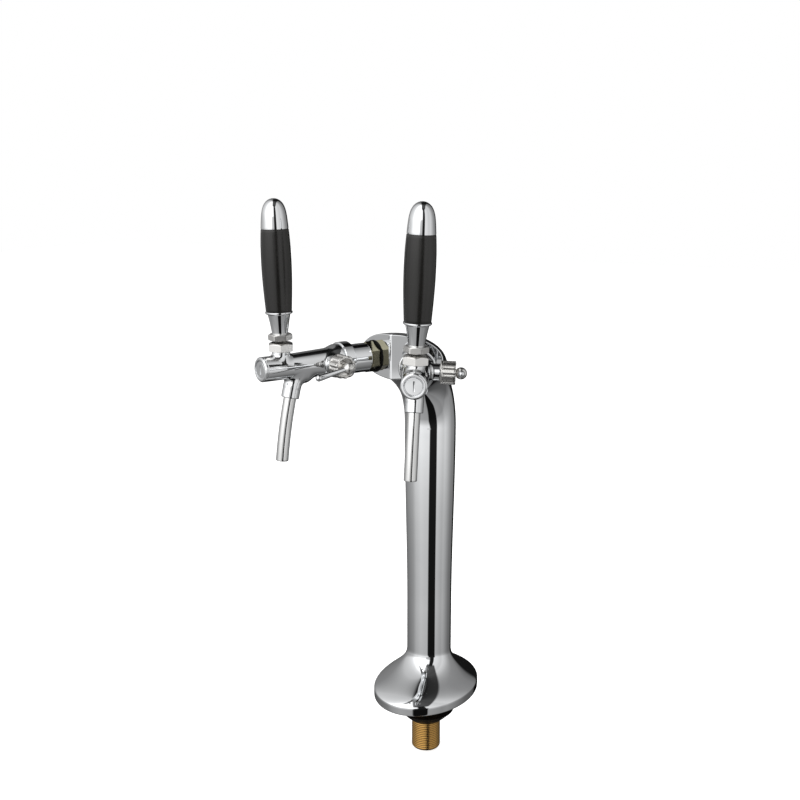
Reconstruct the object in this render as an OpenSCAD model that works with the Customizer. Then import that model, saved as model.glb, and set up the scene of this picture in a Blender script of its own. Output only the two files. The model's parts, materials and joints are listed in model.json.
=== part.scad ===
// Serpentine beer tower: a swept chrome column on an oval foot, with two
// compensator taps on the slanted faces of its head.
// Millimetres. The origin is the centre of the shank on the counter's top
// surface, +Z is up and the taps point towards -Y.

/* [Foot] */
// Half width of the oval foot, across the bar
foot_half_w = 56.6; // [50:0.1:64]
// Half length of the oval foot, front to back
foot_half_l = 72.7; // [66:0.1:82]
// Height of the foot's upright rim
rim_h = 9.9; // [7:0.1:13]
// Rounding at the bottom of the rim
rim_round = 2; // [1:0.1:3]
// Height of the bell between the rim and the column
bell_h = 42.5; // [36:0.1:52]
// How high the bell keeps its full width
bell_shoulder = 1.6; // [1.2:0.05:2.2]
// How quickly the bell sweeps in to the column
bell_sweep = 3; // [2:0.1:4]
// Thickness of the foot's skin beside the base plate
rim_wall = 5; // [4:0.1:7]
// Width of the ledge that the base plate is screwed to
ledge_w = 11; // [10:0.1:14]
// Height of that ledge
ledge_h = 8; // [7:0.1:10]

/* [Column] */
// Radius of the column just above the foot
column_r = 25.5; // [22:0.1:28]
// Radius of the column where the neck begins
column_top_r = 28.6; // [26:0.1:31]
// How far the column's axis stands behind the foot's centre
column_y = 6.5; // [2:0.1:10]
// Height at which the column begins to widen
widen_from = 110; // [80:1:140]
// Wall of the column and head
wall = 3; // [2.4:0.1:4]

/* [Head] */
// Height of the tap axes above the counter
tap_z = 407.4; // [380:0.1:440]
// How far the hood's centre stands above the tap axes
head_rise = 3; // [1:0.1:4]
// Radius of the neck's bend, along its centre line
neck_r = 90; // [80:0.5:96]
// Half width of the hood
hood_half_w = 51.75; // [47:0.05:55]
// Half height of the hood
hood_half_h = 23.6; // [23:0.1:27]
// Squareness of the hood's section, where 2 is an ellipse
hood_square = 1.89; // [1.85:0.01:2.4]
// Share of the neck that stays round before the hood spreads
hood_from = 0.28; // [0.1:0.01:0.5]
// Angle of each tap face from straight ahead
face_angle = 25.8; // [18:0.1:32]
// How far the two faces' shared edge stands in front of the origin
ridge_y = 85.2; // [80:0.1:88]
// Rounding of that edge
ridge_round = 4.5; // [3:0.1:9]
// Distance from that edge to each tap axis, along the face
tap_from_ridge = 29.74; // [28:0.01:31]

/* [Counter mounting] */
// Outside diameter of the threaded shank
shank_d = 33.2; // [30:0.1:36]
// Bore of the shank
shank_bore_d = 26; // [24:0.1:27]
// How far the shank reaches below the counter's top surface
shank_drop = 69; // [60:0.5:110]
// Width across the flats of the shank's collar
collar_af = 40; // [38:0.5:46]
// Height of the shank's collar
collar_h = 8; // [6:0.5:12]
// Thickness of the base plate
plate_t = 6; // [5:0.1:8]
// Thickness of the rubber ring under the foot
gasket_t = 3; // [2:0.1:5]
// How far the rubber ring stays inside the foot's rim
gasket_inset = 8; // [7:0.5:14]
// Gap for the counter between the rubber ring and the clamp washer
counter_gap = 20.5; // [12:0.5:34]
// Radius of the clamp washer where it meets the counter
clamp_washer_r = 32.2; // [29:0.1:37]
// Thickness of the clamp washer
clamp_washer_t = 7; // [5:0.5:10]
// Radius of the clamp nut where it meets the washer
clamp_nut_r = 25.2; // [23:0.1:27]
// Height of the clamp nut
clamp_nut_h = 6.5; // [5:0.5:12]
// Diameter of the base plate's screws
base_screw_d = 5; // [4:0.5:5.5]

/* [Tap body] */
// Distance from the head's face to the handle's axis
reach = 110.8; // [106:0.1:118]
// Distance from the handle's axis to the tap's front end
nose = 24.2; // [22:0.1:27]
// Radius of the tap's front tube
body_r = 12.5; // [12:0.1:13.2]
// Radius of the tap body behind the compensator
body_rear_r = 17.6; // [17:0.1:18.5]
// Distance from the handle's axis to the compensator's axis
side_y = 52; // [51:0.1:53]
// Radius of the piston's bore
barrel_r = 7; // [6.6:0.05:7.4]
// Radius of the valve seat's opening
seat_r = 5.5; // [5:0.05:5.8]
// Thickness of the front plug's flange
plug_t = 3; // [2.5:0.1:4]
// Length of the coupling nut
coupling_l = 12; // [11:0.1:14]
// Radius of the coupling nut
coupling_r = 19; // [18.6:0.1:21]
// Radius of the tail tube
tail_r = 15.2; // [14.6:0.1:15.8]
// Turn of the right tap in its coupling nut
right_roll = 2.4; // [-4:0.1:4]

/* [Face fittings] */
// Radius of the threaded nipple through the head's face
nipple_r = 8.5; // [8:0.1:9]
// Bore radius of the nipple
nipple_bore_r = 5; // [4.5:0.1:5.5]
// Width across the flats of the hexagonal nut on the face
face_nut_af = 28; // [26:0.5:29]
// Thickness of that nut
face_nut_t = 8; // [7:0.1:10]
// Radius of the washer on the face
face_washer_r = 16.8; // [16:0.1:18]
// Thickness of the washer on the face
face_washer_t = 2; // [1.5:0.1:3]
// Width across the flats of the nut inside the head
inner_nut_af = 22; // [21:0.5:24]
// Thickness of the nut inside the head
inner_nut_t = 6; // [5:0.1:7]

/* [Handle] */
// Height of the ball pivot above the tap axis
pivot_h = 14; // [13.8:0.05:14.4]
// Radius of the pivot ball
ball_r = 5.5; // [5.3:0.05:5.6]
// Width across the flats of the bonnet nut
bonnet_af = 22.5; // [21.5:0.1:24]
// Height of the top of the bonnet nut above the tap axis
bonnet_top = 25.2; // [24.6:0.1:25.3]
// Width across the flats of the jam nut
jam_af = 21; // [19:0.1:22]
// Height of the jam nut's underside above the tap axis
jam_z = 27.6; // [27.5:0.1:29]
// Height of the jam nut
jam_h = 8.4; // [7:0.1:9]
// Height of the chrome ferrule
ferrule_h = 20.4; // [18:0.1:24]
// Length of the black grip
grip_h = 80; // [70:0.5:95]
// Largest radius of the grip
grip_r = 15.3; // [14.6:0.1:17]
// Height of the domed cap
dome_h = 29.1; // [24:0.1:34]
// Radius of the domed cap where it meets the grip
dome_r = 14.1; // [13.4:0.1:14.2]
// Forward lean of the closed handle
handle_lean = 1.8; // [0:0.1:2.5]

/* [Compensator] */
// Distance from the tap axis to the fluted cap
cap_x = 23; // [22:0.1:24.5]
// Length of the fluted cap
cap_l = 15; // [13:0.1:17]
// Radius of the fluted cap
cap_r = 11.6; // [11.2:0.05:12]
// Number of flutes round the cap
flutes = 10; // [8:1:12]
// Radius of the stem's ball
knob_r = 6; // [5.5:0.1:6.5]
// Length of the lever from the ball's centre
lever_l = 38.6; // [30:0.1:42]
// Angle of the left lever above straight ahead
left_pitch = -10; // [-30:1:30]
// Angle of the right lever above straight ahead
right_pitch = 10; // [-30:1:30]
// Offset of the pin that moves the throttle cone
crank = 3; // [2.6:0.1:3.2]

/* [Spout] */
// Outside radius of the stainless spout tube
spout_r = 6.35; // [6:0.05:6.7]
// Wall of the spout tube
spout_wall = 1; // [0.8:0.05:1.4]
// Radius of the cast root
root_r = 9; // [8.6:0.1:9.6]
// Drop from the tap axis to the root's lower end
root_drop = 32; // [30:0.1:36]
// Distance of the root's lower end behind the handle's axis
root_y = 9; // [7:0.1:11]
// Slope of the spout where it leaves the root
root_slope = 13; // [10:0.5:15]
// Slope of the spout at its outlet
outlet_slope = 6; // [3:0.5:8]
// Length of the spout's curved part
spout_l = 64.5; // [50:0.5:75]

/* [Lines] */
// Radius of each beer line
beer_line_r = 4; // [3.5:0.1:4.2]
// Radius of the cooling loop's tube
cooling_r = 3; // [2.5:0.1:3.2]

/* [Fits] */
// Radial clearance of parts that run in each other
run_fit = 0.05; // [0.03:0.01:0.08]
// Radial clearance of threads and seats
thread_fit = 0.05; // [0.03:0.01:0.1]
// Clearance between parts that pass close by
pass_gap = 0.3; // [0.25:0.05:0.5]

/* [Hidden] */

$fn = 64;
eps = 0.01;

// Colours, as the finishes look
chrome = "silver";
nickel = "lightgray";
brass = "darkgoldenrod";
black = "dimgray";
steel = "gainsboro";
seal = "ivory";

// Sides of the two taps
LEFT = -1;
RIGHT = 1;

// Foot
rim_z = gasket_t;
edge_z = rim_z + rim_h;
bell_top = edge_z + bell_h;
plate_top = rim_z + plate_t;
ledge_top = plate_top + ledge_h;
pocket_w = foot_half_w - rim_wall;
pocket_l = foot_half_l - rim_wall;
screw_half_w = pocket_w - ledge_w / 2;
screw_half_l = pocket_l - ledge_w / 2;
screw_angles = [40, 140, 220, 320];
screw_bite = 5;
screw_hole_l = screw_bite + 1.5;
screw_socket = 3;
cavity_step = 1;
screw_head_r = base_screw_d * 0.95;
screw_head_h = base_screw_d * 0.45;

// Column and neck
around = 48;
around_inside = 28;
neck_z = tap_z + head_rise - neck_r;
neck_y = column_y - neck_r;
bell_steps = 12;
column_steps = 8;
neck_steps = 16;
face_half_w = 80;

// Counter mounting
shank_r = shank_d / 2;
shank_bore_r = shank_bore_d / 2;
collar_top = plate_top + collar_h;
clamp_top = -counter_gap;
clamp_seat = clamp_top - clamp_washer_t;
clamp_low = clamp_seat - clamp_nut_h;
clamp_nut_tip_r = shank_r + 1.6;
clamp_notch_r = 4;
gasket_hole_r = shank_r + 3.4;
end_chamfer = 1.2;

// Stations along the tap, measured back from the handle's axis
face_y = reach;
washer_y = face_y - face_washer_t;
nut_y = washer_y - face_nut_t;
coupling_y = side_y + 14;
lip_t = 3;
flange_y = coupling_y + lip_t;
flange_t = 3;
joint_y = flange_y + flange_t;
coupling_end = coupling_y + coupling_l;
spanner_y = coupling_y + coupling_l * 0.62;
spanner_turn = 40;
spanner_r = 1.5;
spanner_depth = 1.6;
neck_in_r = body_rear_r - 2.6;
flange_r = body_rear_r - 1.2;
nose_y = -nose;
plug_y = nose_y + plug_t;
plug_spigot_r = body_r - 4;
plug_spigot_l = 7;
guide_half = 10;
barrel_end = 26;
seat_t = 3;
seat_y = barrel_end + seat_t;
chamber_r = 8;
throttle_y = seat_y + 9;
throttle_end = throttle_y + 8;
throttle_r = 11;
nipple_front = nut_y - 12;
inner_face = face_y + wall + 1;
nipple_back = inner_face + inner_nut_t + 8;

// Ball pivot and bonnet
boss_r = 9;
boss_shoulder = 16.3;
boss_thread_r = 8.6;
boss_top = 21;
socket_r = ball_r + 0.7;
socket_floor = pivot_h - 4.15;
finger_hole_r = 4.2;
finger_r = 1.7;
finger_tip_r = 3.5;
neck_stem_r = 2.6;
thread_r = 4;
seat_ring_top = pivot_h + 5.6;
lower_seat_h = 3.2;
upper_seat_z = pivot_h + 2.4;
ring_hole_r = 4.5;
swing_low_r = 5.6;
swing_top_r = 7;
bonnet_inset = 1.55;
seal_in_r = 7.6;
seal_out_r = 9.3;
seal_t = 1.2;

// Handle
ferrule_z = jam_z + jam_h;
bead_h = 2.4;
grip_z = ferrule_z + ferrule_h;
dome_z = grip_z + grip_h;
grip_foot_r = 12.8;
grip_waist = 0.6;
ferrule_foot_r = 7.5;
ferrule_top_r = 11.2;
bead_r = 13.5;
rod_top = grip_z + 16;
dome_spigot_r = 5;
dome_spigot_l = 10;
dome_side = 0.55;
dome_taper = 1.6;
dome_bow = 2.2;

// Piston
piston_r = barrel_r - run_fit;
slot_half = finger_tip_r + pass_gap;
seal_y = seat_y + 0.1;
piston_seal_t = 4;
piston_seal_r = 7.4;
piston_neck_r = 3.5;
piston_tail_r = 2.5;

// Compensator
boss_side_r = 8.5;
boss_side_thread_r = 7;
thread_side_l = 7;
side_bore_r = 5.6;
stem_r = 3;
disc_r = 5.3;
disc_x = 10.5;
disc_t = 3.5;
crank_pin_r = 1.5;
crank_pin_x = 5;
slot_play = 0.6;
cone_tip_y = throttle_y + 3;
cone_tip_r = 6.2;
cone_full_y = side_y + 2;
cone_full_r = 9.4;
cone_end_y = side_y + 11;
fin_r = throttle_r - run_fit;
fin_t = 2;
knob_x = cap_x + cap_l + 5;
cup_r = 8.4;
cup_depth = 3;
flute_r = 1.9;
flute_out = 0.7;
flute_start = 1.6;
rod_foot_r = 2.1;
rod_tip_r = 3.3;
lever_bore_l = 4;
lever_straight_l = lever_bore_l + 0.4;

// Spout
socket_l = 12;
spout_bend_r = spout_l / ((root_slope - outlet_slope) * PI / 180);
spout_centre = [root_y, -root_drop] + spout_bend_r * [cos(root_slope), -sin(root_slope)];
socket_slope = root_slope + socket_l / spout_bend_r * 180 / PI;
socket_top = spout_centre + spout_bend_r * [-cos(socket_slope), sin(socket_slope)];
elbow_r = 14;
elbow_centre = socket_top + elbow_r * [cos(socket_slope), -sin(socket_slope)];
root_bore_r = 5;
root_step = 0.4;

// Lines, from the nipple down through the neck, the column and the shank
line_top = 6;
line_x = 6.5;
loop_y = 7.5;
line_low = -shank_drop + 3;

function smooth(t) = let(u = min(max(t, 0), 1)) u * u * (3 - 2 * u);
function bell(z) = z <= edge_z ? 1
    : z >= bell_top ? 0
    : pow(1 - pow((z - edge_z) / bell_h, bell_shoulder), bell_sweep);
function column_radius(z) = column_r
    + (column_top_r - column_r) * smooth((z - widen_from) / (neck_z - widen_from));
function power(v, p) = sign(v) * pow(abs(v), 2 / p);

// One closed section: half width w, half depth d, tilted from level
function section(y, z, tilt, w, d, p, n) = [
    for (i = [0 : n - 1])
        let(a = 360 * i / n, v = d * power(sin(a), p))
            [w * power(cos(a), p), y + v * cos(tilt), z + v * sin(tilt)]
];

// Sections of the foot between two heights, taken in by inset
function foot_section(z, n) = let(g = bell(z), r = column_r)
    section(column_y * (1 - g), z, 0, r + (foot_half_w - r) * g, r + (foot_half_l - r) * g, 2, n);
function cavity_section(z, n) = let(
        g = bell(z + wall + 2),
        r = column_r,
        w = r + (foot_half_w - r) * g - wall - cavity_step * g,
        l = r + (foot_half_l - r) * g - wall - cavity_step * g
    ) section(
        column_y * (1 - g), z, 0,
        min(w, pocket_w - ledge_w), min(l, pocket_l - ledge_w), 2, n);
function column_section(z, inset, n) = let(r = column_radius(z) - inset)
    section(column_y, z, 0, r, r, 2, n);
function neck_section(k, inset, n) = let(
        a = 90 * k,
        e = smooth((k - hood_from) / (1 - hood_from)),
        w = column_top_r + (hood_half_w - column_top_r) * e - inset,
        d = column_top_r + (hood_half_h - column_top_r) * k - inset
    ) section(
        neck_y + neck_r * cos(a), neck_z + neck_r * sin(a), a,
        w, d, 2 + (hood_square - 2) * k, n);

// Solid through a list of sections with equal point counts
module skin(rings) {
    n = len(rings[0]);
    m = len(rings);
    sides = [
        for (j = [0 : m - 2], i = [0 : n - 1])
            let(a = j * n + i, b = j * n + (i + 1) % n)
                each [[a, a + n, b], [b, a + n, b + n]]
    ];
    low = [[for (i = [0 : n - 1]) i]];
    high = [[for (i = [n - 1 : -1 : 0]) (m - 1) * n + i]];
    polyhedron(points = [for (r = rings) each r], faces = concat(sides, low, high));
}

// The skin continued a little past the ridge, which the faces cut off
past_ridge = 1.06;

module outer_skin() {
    foot = [
        for (z = [rim_z, rim_z + rim_round * 0.3, rim_z + rim_round, edge_z])
            let(e = z < rim_z + rim_round ? rim_round * pow(1 - (z - rim_z) / rim_round, 2) : 0)
                section(0, z, 0, foot_half_w - e, foot_half_l - e, 2, around)
    ];
    bell_part = [for (i = [1 : bell_steps]) foot_section(edge_z + bell_h * i / bell_steps, around)];
    column = [
        for (i = [1 : column_steps])
            column_section(bell_top + (neck_z - bell_top) * i / column_steps, 0, around)
    ];
    neck = [for (i = [1 : neck_steps]) neck_section(past_ridge * i / neck_steps, 0, around)];
    skin(concat(foot, bell_part, column, neck));
}

module inner_skin() {
    steps = 7;
    foot = [
        for (i = [0 : steps])
            cavity_section(plate_top - 1 + (bell_top + 6 - plate_top) * i / steps, around_inside)
    ];
    column = [
        for (i = [1 : 4])
            column_section(bell_top + 8 + (neck_z - bell_top - 8) * i / 4, wall, around_inside)
    ];
    neck = [for (i = [1 : 9]) neck_section(past_ridge * i / 9, wall, around_inside)];
    skin(concat(foot, column, neck));
}

// Everything behind the two tap faces, set back by a wall
module behind_faces(back, round) {
    y = -ridge_y + back / cos(face_angle);
    run = round * tan(face_angle);
    start = [run * cos(face_angle), y + run * sin(face_angle)];
    centre = [0, y + round / cos(face_angle)];
    arc = [
        for (a = [-face_angle : face_angle / 4 : face_angle])
            centre + round * [sin(a), -cos(a)]
    ];
    far = face_half_w * [1, tan(face_angle)] + [0, y];
    linear_extrude(height = tap_z + 60)
        polygon(concat(arc, [far, [face_half_w, 120], [-face_half_w, 120], [-far[0], far[1]]]));
}

module oval(half_w, half_l, h) {
    linear_extrude(height = h)
        polygon([for (a = [0 : 5 : 355]) [half_w * cos(a), half_l * sin(a)]]);
}

module hexagon(af, h) {
    cylinder(d = af / cos(30), h = h, $fn = 6);
}

// Hexagon nut along +Z, its corners turned off by top and foot to inset inside the flats
module nut(af, h, bore_r, top, foot, inset = 0.3) {
    corner = af / 2 / cos(30);
    face_r = af / 2 - inset;
    difference() {
        intersection() {
            hexagon(af, h);
            rotate_extrude()
                polygon([[0, 0], [face_r, 0], [corner, foot], [corner, h - top], [face_r, h], [0, h]]);
        }
        translate([0, 0, -1])
            cylinder(r = bore_r, h = h + 2);
    }
}

// Ring or tube along +Z
module tube(r, bore_r, h) {
    difference() {
        cylinder(r = r, h = h);
        translate([0, 0, -1])
            cylinder(r = bore_r, h = h + 2);
    }
}

// Puts what is drawn along +Z onto the tap axis, pointing back from y
module along_tap(y) {
    translate([0, y, 0])
        rotate([-90, 0, 0])
            children();
}

// Puts what is drawn along +Z onto the compensator's axis, pointing out from x
module along_side(x) {
    translate([x, side_y, 0])
        rotate([0, 90, 0])
            children();
}

module on_face(side, roll = 0) {
    translate([
        side * tap_from_ridge * cos(face_angle),
        -ridge_y + tap_from_ridge * sin(face_angle),
        tap_z
    ])
        rotate([0, 0, side * face_angle])
            translate([0, -reach, 0])
                rotate([0, roll, 0])
                    children();
}

module on_tap(side) {
    on_face(side, side == RIGHT ? right_roll : 0)
        children();
}

// Moves what stands above the pivot with the handle's lean
module leaning() {
    translate([0, 0, pivot_h])
        rotate([handle_lean, 0, 0])
            translate([0, 0, -pivot_h])
                children();
}

module screw_places() {
    for (a = screw_angles)
        translate([screw_half_w * cos(a), screw_half_l * sin(a), 0])
            children();
}

// Tower

module tower_body() {
    color(chrome)
        difference() {
            intersection() {
                outer_skin();
                behind_faces(0, ridge_round);
            }
            intersection() {
                inner_skin();
                behind_faces(wall + 1, ridge_round);
            }
            translate([0, 0, rim_z - 1])
                oval(pocket_w, pocket_l, plate_t + 1);
            screw_places()
                translate([0, 0, plate_top - 1])
                    cylinder(d = base_screw_d, h = screw_hole_l);
            for (side = [LEFT, RIGHT])
                on_face(side)
                    along_tap(face_y - 10)
                        cylinder(r = nipple_r + pass_gap, h = 10 + wall + 8);
        }
}

module base_plate() {
    color(steel)
        difference() {
            translate([0, 0, rim_z])
                oval(pocket_w - pass_gap, pocket_l - pass_gap, plate_t);
            translate([0, 0, rim_z - 1])
                cylinder(r = shank_r + thread_fit, h = plate_t + 2);
            screw_places() {
                translate([0, 0, rim_z - 1])
                    cylinder(d = base_screw_d + 2 * pass_gap, h = plate_t + 2);
                translate([0, 0, rim_z - eps])
                    cylinder(r1 = screw_head_r + pass_gap, r2 = base_screw_d / 2 + pass_gap, h = screw_head_h);
            }
        }
}

module base_screws() {
    color(nickel)
        screw_places()
            translate([0, 0, rim_z + 0.2])
                difference() {
                    union() {
                        cylinder(d = base_screw_d - 2 * thread_fit, h = plate_t + screw_bite);
                        cylinder(r1 = screw_head_r, r2 = base_screw_d / 2 - thread_fit, h = screw_head_h);
                    }
                    translate([0, 0, -1])
                        hexagon(screw_socket, 2.6);
                }
}

module counter_gasket() {
    color(black)
        difference() {
            oval(foot_half_w - gasket_inset, foot_half_l - gasket_inset, gasket_t);
            translate([0, 0, -1])
                cylinder(r = gasket_hole_r, h = gasket_t + 2);
        }
}

module mounting_shank() {
    color(brass)
        difference() {
            union() {
                translate([0, 0, -shank_drop + end_chamfer])
                    cylinder(r = shank_r, h = shank_drop - end_chamfer + plate_top + 1);
                translate([0, 0, -shank_drop])
                    cylinder(r1 = shank_r - end_chamfer, r2 = shank_r, h = end_chamfer);
                translate([0, 0, plate_top])
                    nut(collar_af, collar_h, shank_bore_r, 1.4, 0.2);
            }
            translate([0, 0, -shank_drop - 1])
                cylinder(r = shank_bore_r, h = shank_drop + collar_top + 2);
        }
}

module clamp_washer() {
    color(black)
        translate([0, 0, clamp_seat])
            difference() {
                rotate_extrude()
                    polygon([
                        [0, 0], [clamp_nut_r, 0], [clamp_washer_r, clamp_washer_t - 0.4],
                        [clamp_washer_r, clamp_washer_t], [0, clamp_washer_t]
                    ]);
                translate([0, 0, -1])
                    cylinder(r = shank_r + pass_gap, h = clamp_washer_t + 2);
            }
}

module clamp_nut() {
    color(black)
        translate([0, 0, clamp_low])
            difference() {
                rotate_extrude()
                    polygon([
                        [0, 0], [clamp_nut_tip_r, 0], [clamp_nut_r - 0.1, clamp_nut_h - 0.3],
                        [clamp_nut_r - 0.1, clamp_nut_h], [0, clamp_nut_h]
                    ]);
                translate([0, 0, -1])
                    cylinder(r = shank_r + thread_fit, h = clamp_nut_h + 2);
                for (a = [0 : 90 : 270])
                    rotate([0, 0, a])
                        translate([clamp_nut_r + 1.5, 0, -1])
                            cylinder(r = clamp_notch_r, h = clamp_nut_h + 2);
            }
}

// Lines

function bezier(p, t) = let(u = 1 - t)
    u * u * u * p[0] + 3 * u * u * t * p[1] + 3 * u * t * t * p[2] + t * t * t * p[3];
function unit(v) = v / norm(v);

// Round tube swept along points; up is a direction the route never follows
module swept(points, r, up, n = 8) {
    last = len(points) - 1;
    rings = [
        for (i = [0 : last])
            let(
                d = unit(points[min(i + 1, last)] - points[max(i - 1, 0)]),
                u = unit(cross(up, d)),
                v = cross(d, u)
            )
                [for (k = [0 : n - 1]) points[i] + r * (cos(360 * k / n) * u + sin(360 * k / n) * v)]
    ];
    skin([for (j = [last : -1 : 0]) rings[j]]);
}

// Centre of the neck at a share k of its bend
function neck_point(k) = [0, neck_y + neck_r * cos(90 * k), neck_z + neck_r * sin(90 * k)];

module beer_line(side) {
    back = nipple_back - reach;
    from = [
        side * (tap_from_ridge * cos(face_angle) - back * sin(face_angle)),
        -ridge_y + tap_from_ridge * sin(face_angle) + back * cos(face_angle),
        tap_z
    ];
    inward = [-side * sin(face_angle), cos(face_angle), 0];
    lane = [side * line_x, 0, 0];
    low_neck = neck_point(0.35) + lane;
    neck_dir = unit(neck_point(0.33) - neck_point(0.37));
    column_top = [side * line_x, column_y, neck_z];
    column_low = [side * line_x, column_y, bell_top + 10];
    shank_top = [side * line_x, 0, collar_top + 4];
    turn = [
        for (t = [0 : 1 / 7 : 1])
            bezier([from + line_top * inward, from + (line_top + 12) * inward, low_neck - 22 * neck_dir, low_neck], t)
    ];
    neck = [for (k = [0.26 : -0.08 : 0.02]) neck_point(k) + lane];
    shift = [
        for (t = [0 : 1 / 5 : 1])
            bezier([column_low, column_low - [0, 0, 14], shank_top + [0, 0, 14], shank_top], t)
    ];
    color(seal)
        swept(concat([from], turn, neck, [column_top], shift, [[side * line_x, 0, line_low]]),
            beer_line_r, [1, 0, 0]);
}

module left_beer_line() {
    beer_line(LEFT);
}

module right_beer_line() {
    beer_line(RIGHT);
}

module cooling_loop() {
    top = 0.42;
    leg = function(s) concat(
        [for (k = [top : -0.1 : 0.02])
            neck_point(k) + s * loop_y * [0, cos(90 * k), sin(90 * k)]],
        [[0, column_y + s * loop_y, neck_z]],
        [
            for (t = [0 : 1 / 4 : 1])
                let(a = [0, column_y + s * loop_y, bell_top + 10], b = [0, s * loop_y, collar_top + 4])
                    bezier([a, a - [0, 0, 14], b + [0, 0, 14], b], t)
        ],
        [[0, s * loop_y, line_low]]
    );
    front = leg(-1);
    rear = leg(1);
    ahead = [0, -sin(90 * top), cos(90 * top)];
    across = [0, cos(90 * top), sin(90 * top)];
    crown = [
        for (a = [30 : 30 : 150])
            neck_point(top) + loop_y * (-cos(a) * across + sin(a) * ahead)
    ];
    color(steel)
        swept(concat([for (i = [len(front) - 1 : -1 : 0]) front[i]], crown, rear),
            cooling_r, [1, 0, 0]);
}

// Face fittings and tail

module tap_nipple() {
    color(brass)
        along_tap(nipple_front)
            tube(nipple_r, nipple_bore_r, nipple_back - nipple_front);
}

module inner_nut() {
    color(brass)
        along_tap(inner_face)
            nut(inner_nut_af, inner_nut_t, nipple_r + thread_fit, 1, 0.1);
}

module face_washer() {
    color(black)
        along_tap(washer_y)
            tube(face_washer_r, nipple_r + thread_fit, face_washer_t);
}

module face_nut() {
    color("darkkhaki")
        along_tap(nut_y)
            rotate([0, 0, 30])
                nut(face_nut_af, face_nut_t, nipple_r + thread_fit, 1.2, 1.2);
}

module tail_tube() {
    color(chrome)
        difference() {
            union() {
                along_tap(joint_y)
                    cylinder(r = flange_r, h = coupling_end - joint_y);
                along_tap(joint_y + 1)
                    cylinder(r = tail_r, h = nut_y - joint_y - 1);
            }
            along_tap(joint_y - 1)
                cylinder(r = throttle_r - 1, h = nipple_front - 1 - joint_y);
            along_tap(joint_y)
                cylinder(r = nipple_r + thread_fit, h = nut_y - joint_y + 1);
        }
}

module coupling_nut() {
    color(chrome)
        difference() {
            along_tap(coupling_y)
                rotate_extrude()
                    polygon([
                        [0, 0], [coupling_r - 1, 0], [coupling_r, 1], [coupling_r, coupling_l - 1],
                        [coupling_r - 1, coupling_l], [0, coupling_l]
                    ]);
            along_tap(coupling_y - 1)
                cylinder(r = neck_in_r + thread_fit, h = lip_t + 2);
            along_tap(flange_y)
                cylinder(r = flange_r + thread_fit, h = coupling_l);
            for (a = [0 : 60 : 300])
                translate([0, spanner_y, 0])
                    rotate([0, a + spanner_turn, 0])
                        translate([0, 0, coupling_r - spanner_depth])
                            cylinder(r = spanner_r, h = 2 * spanner_depth);
        }
}

// Valve body

function flare(t) = body_r + 1.8 + (body_rear_r - body_r - 1.8) * smooth(t);

module body_form() {
    taper_y = 8;
    flare_y = side_y - 2;
    flare_l = 14;
    along_tap(0)
        rotate_extrude()
            polygon(concat(
                [[0, plug_y], [body_r, plug_y], [body_r, taper_y]],
                [for (t = [0 : 0.125 : 1]) [flare(t), flare_y + flare_l * t]],
                [
                    [body_rear_r, coupling_y], [neck_in_r, coupling_y], [neck_in_r, flange_y],
                    [flange_r, flange_y], [flange_r, joint_y], [0, joint_y]
                ]
            ));
}

// Round bar along the elbow, from level to past the socket's top by extra degrees
module elbow(r, extra = 0) {
    translate([0, elbow_centre[0], elbow_centre[1]])
        rotate([90, 0, 90])
            rotate([0, 0, 90])
                rotate_extrude(angle = 90 - socket_slope + extra)
                    translate([elbow_r, 0])
                        circle(r = r);
}

// Round bar along the spout's gentle curve, between two slopes
module spout_bar(r, from, to) {
    translate([0, spout_centre[0], spout_centre[1]])
        rotate([90, 0, 90])
            rotate([0, 0, 180 - from])
                rotate_extrude(angle = from - to, $fn = 180)
                    translate([spout_bend_r, 0])
                        circle(r = r, $fn = 48);
}

module valve_body() {
    color(chrome)
        difference() {
            union() {
                body_form();
                cylinder(r = boss_r, h = boss_shoulder);
                cylinder(r = boss_thread_r, h = boss_top);
                along_side(0)
                    cylinder(r = boss_side_r, h = cap_x);
                along_side(0)
                    cylinder(r = boss_side_thread_r, h = cap_x + thread_side_l);
                elbow(root_r - root_step);
                translate([0, elbow_centre[0], elbow_centre[1] + elbow_r])
                    sphere(r = root_r);
                spout_bar(root_r, socket_slope + 0.2, root_slope);
            }
            along_tap(plug_y - 1)
                cylinder(r = plug_spigot_r, h = plug_spigot_l + 1 + pass_gap);
            along_tap(plug_y)
                cylinder(r = barrel_r, h = barrel_end - plug_y);
            along_tap(barrel_end - 1)
                cylinder(r = seat_r, h = seat_t + 2);
            along_tap(seat_y)
                cylinder(r = chamber_r, h = throttle_y - seat_y);
            along_tap(throttle_y)
                cylinder(r1 = chamber_r, r2 = throttle_r, h = throttle_end - throttle_y);
            along_tap(throttle_end)
                cylinder(r = throttle_r, h = joint_y - throttle_end + 1);
            cylinder(r = finger_hole_r, h = boss_top);
            translate([0, 0, socket_floor])
                cylinder(r = socket_r, h = boss_top);
            along_side(0)
                cylinder(r = side_bore_r, h = cap_x + thread_side_l + 1);
            elbow(root_bore_r, 8);
            translate([0, elbow_centre[0] - 3, elbow_centre[1] + elbow_r])
                cylinder(r = root_bore_r - 0.5, h = elbow_r);
            spout_bar(spout_r + thread_fit, socket_slope, root_slope - 0.2);
        }
}

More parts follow.
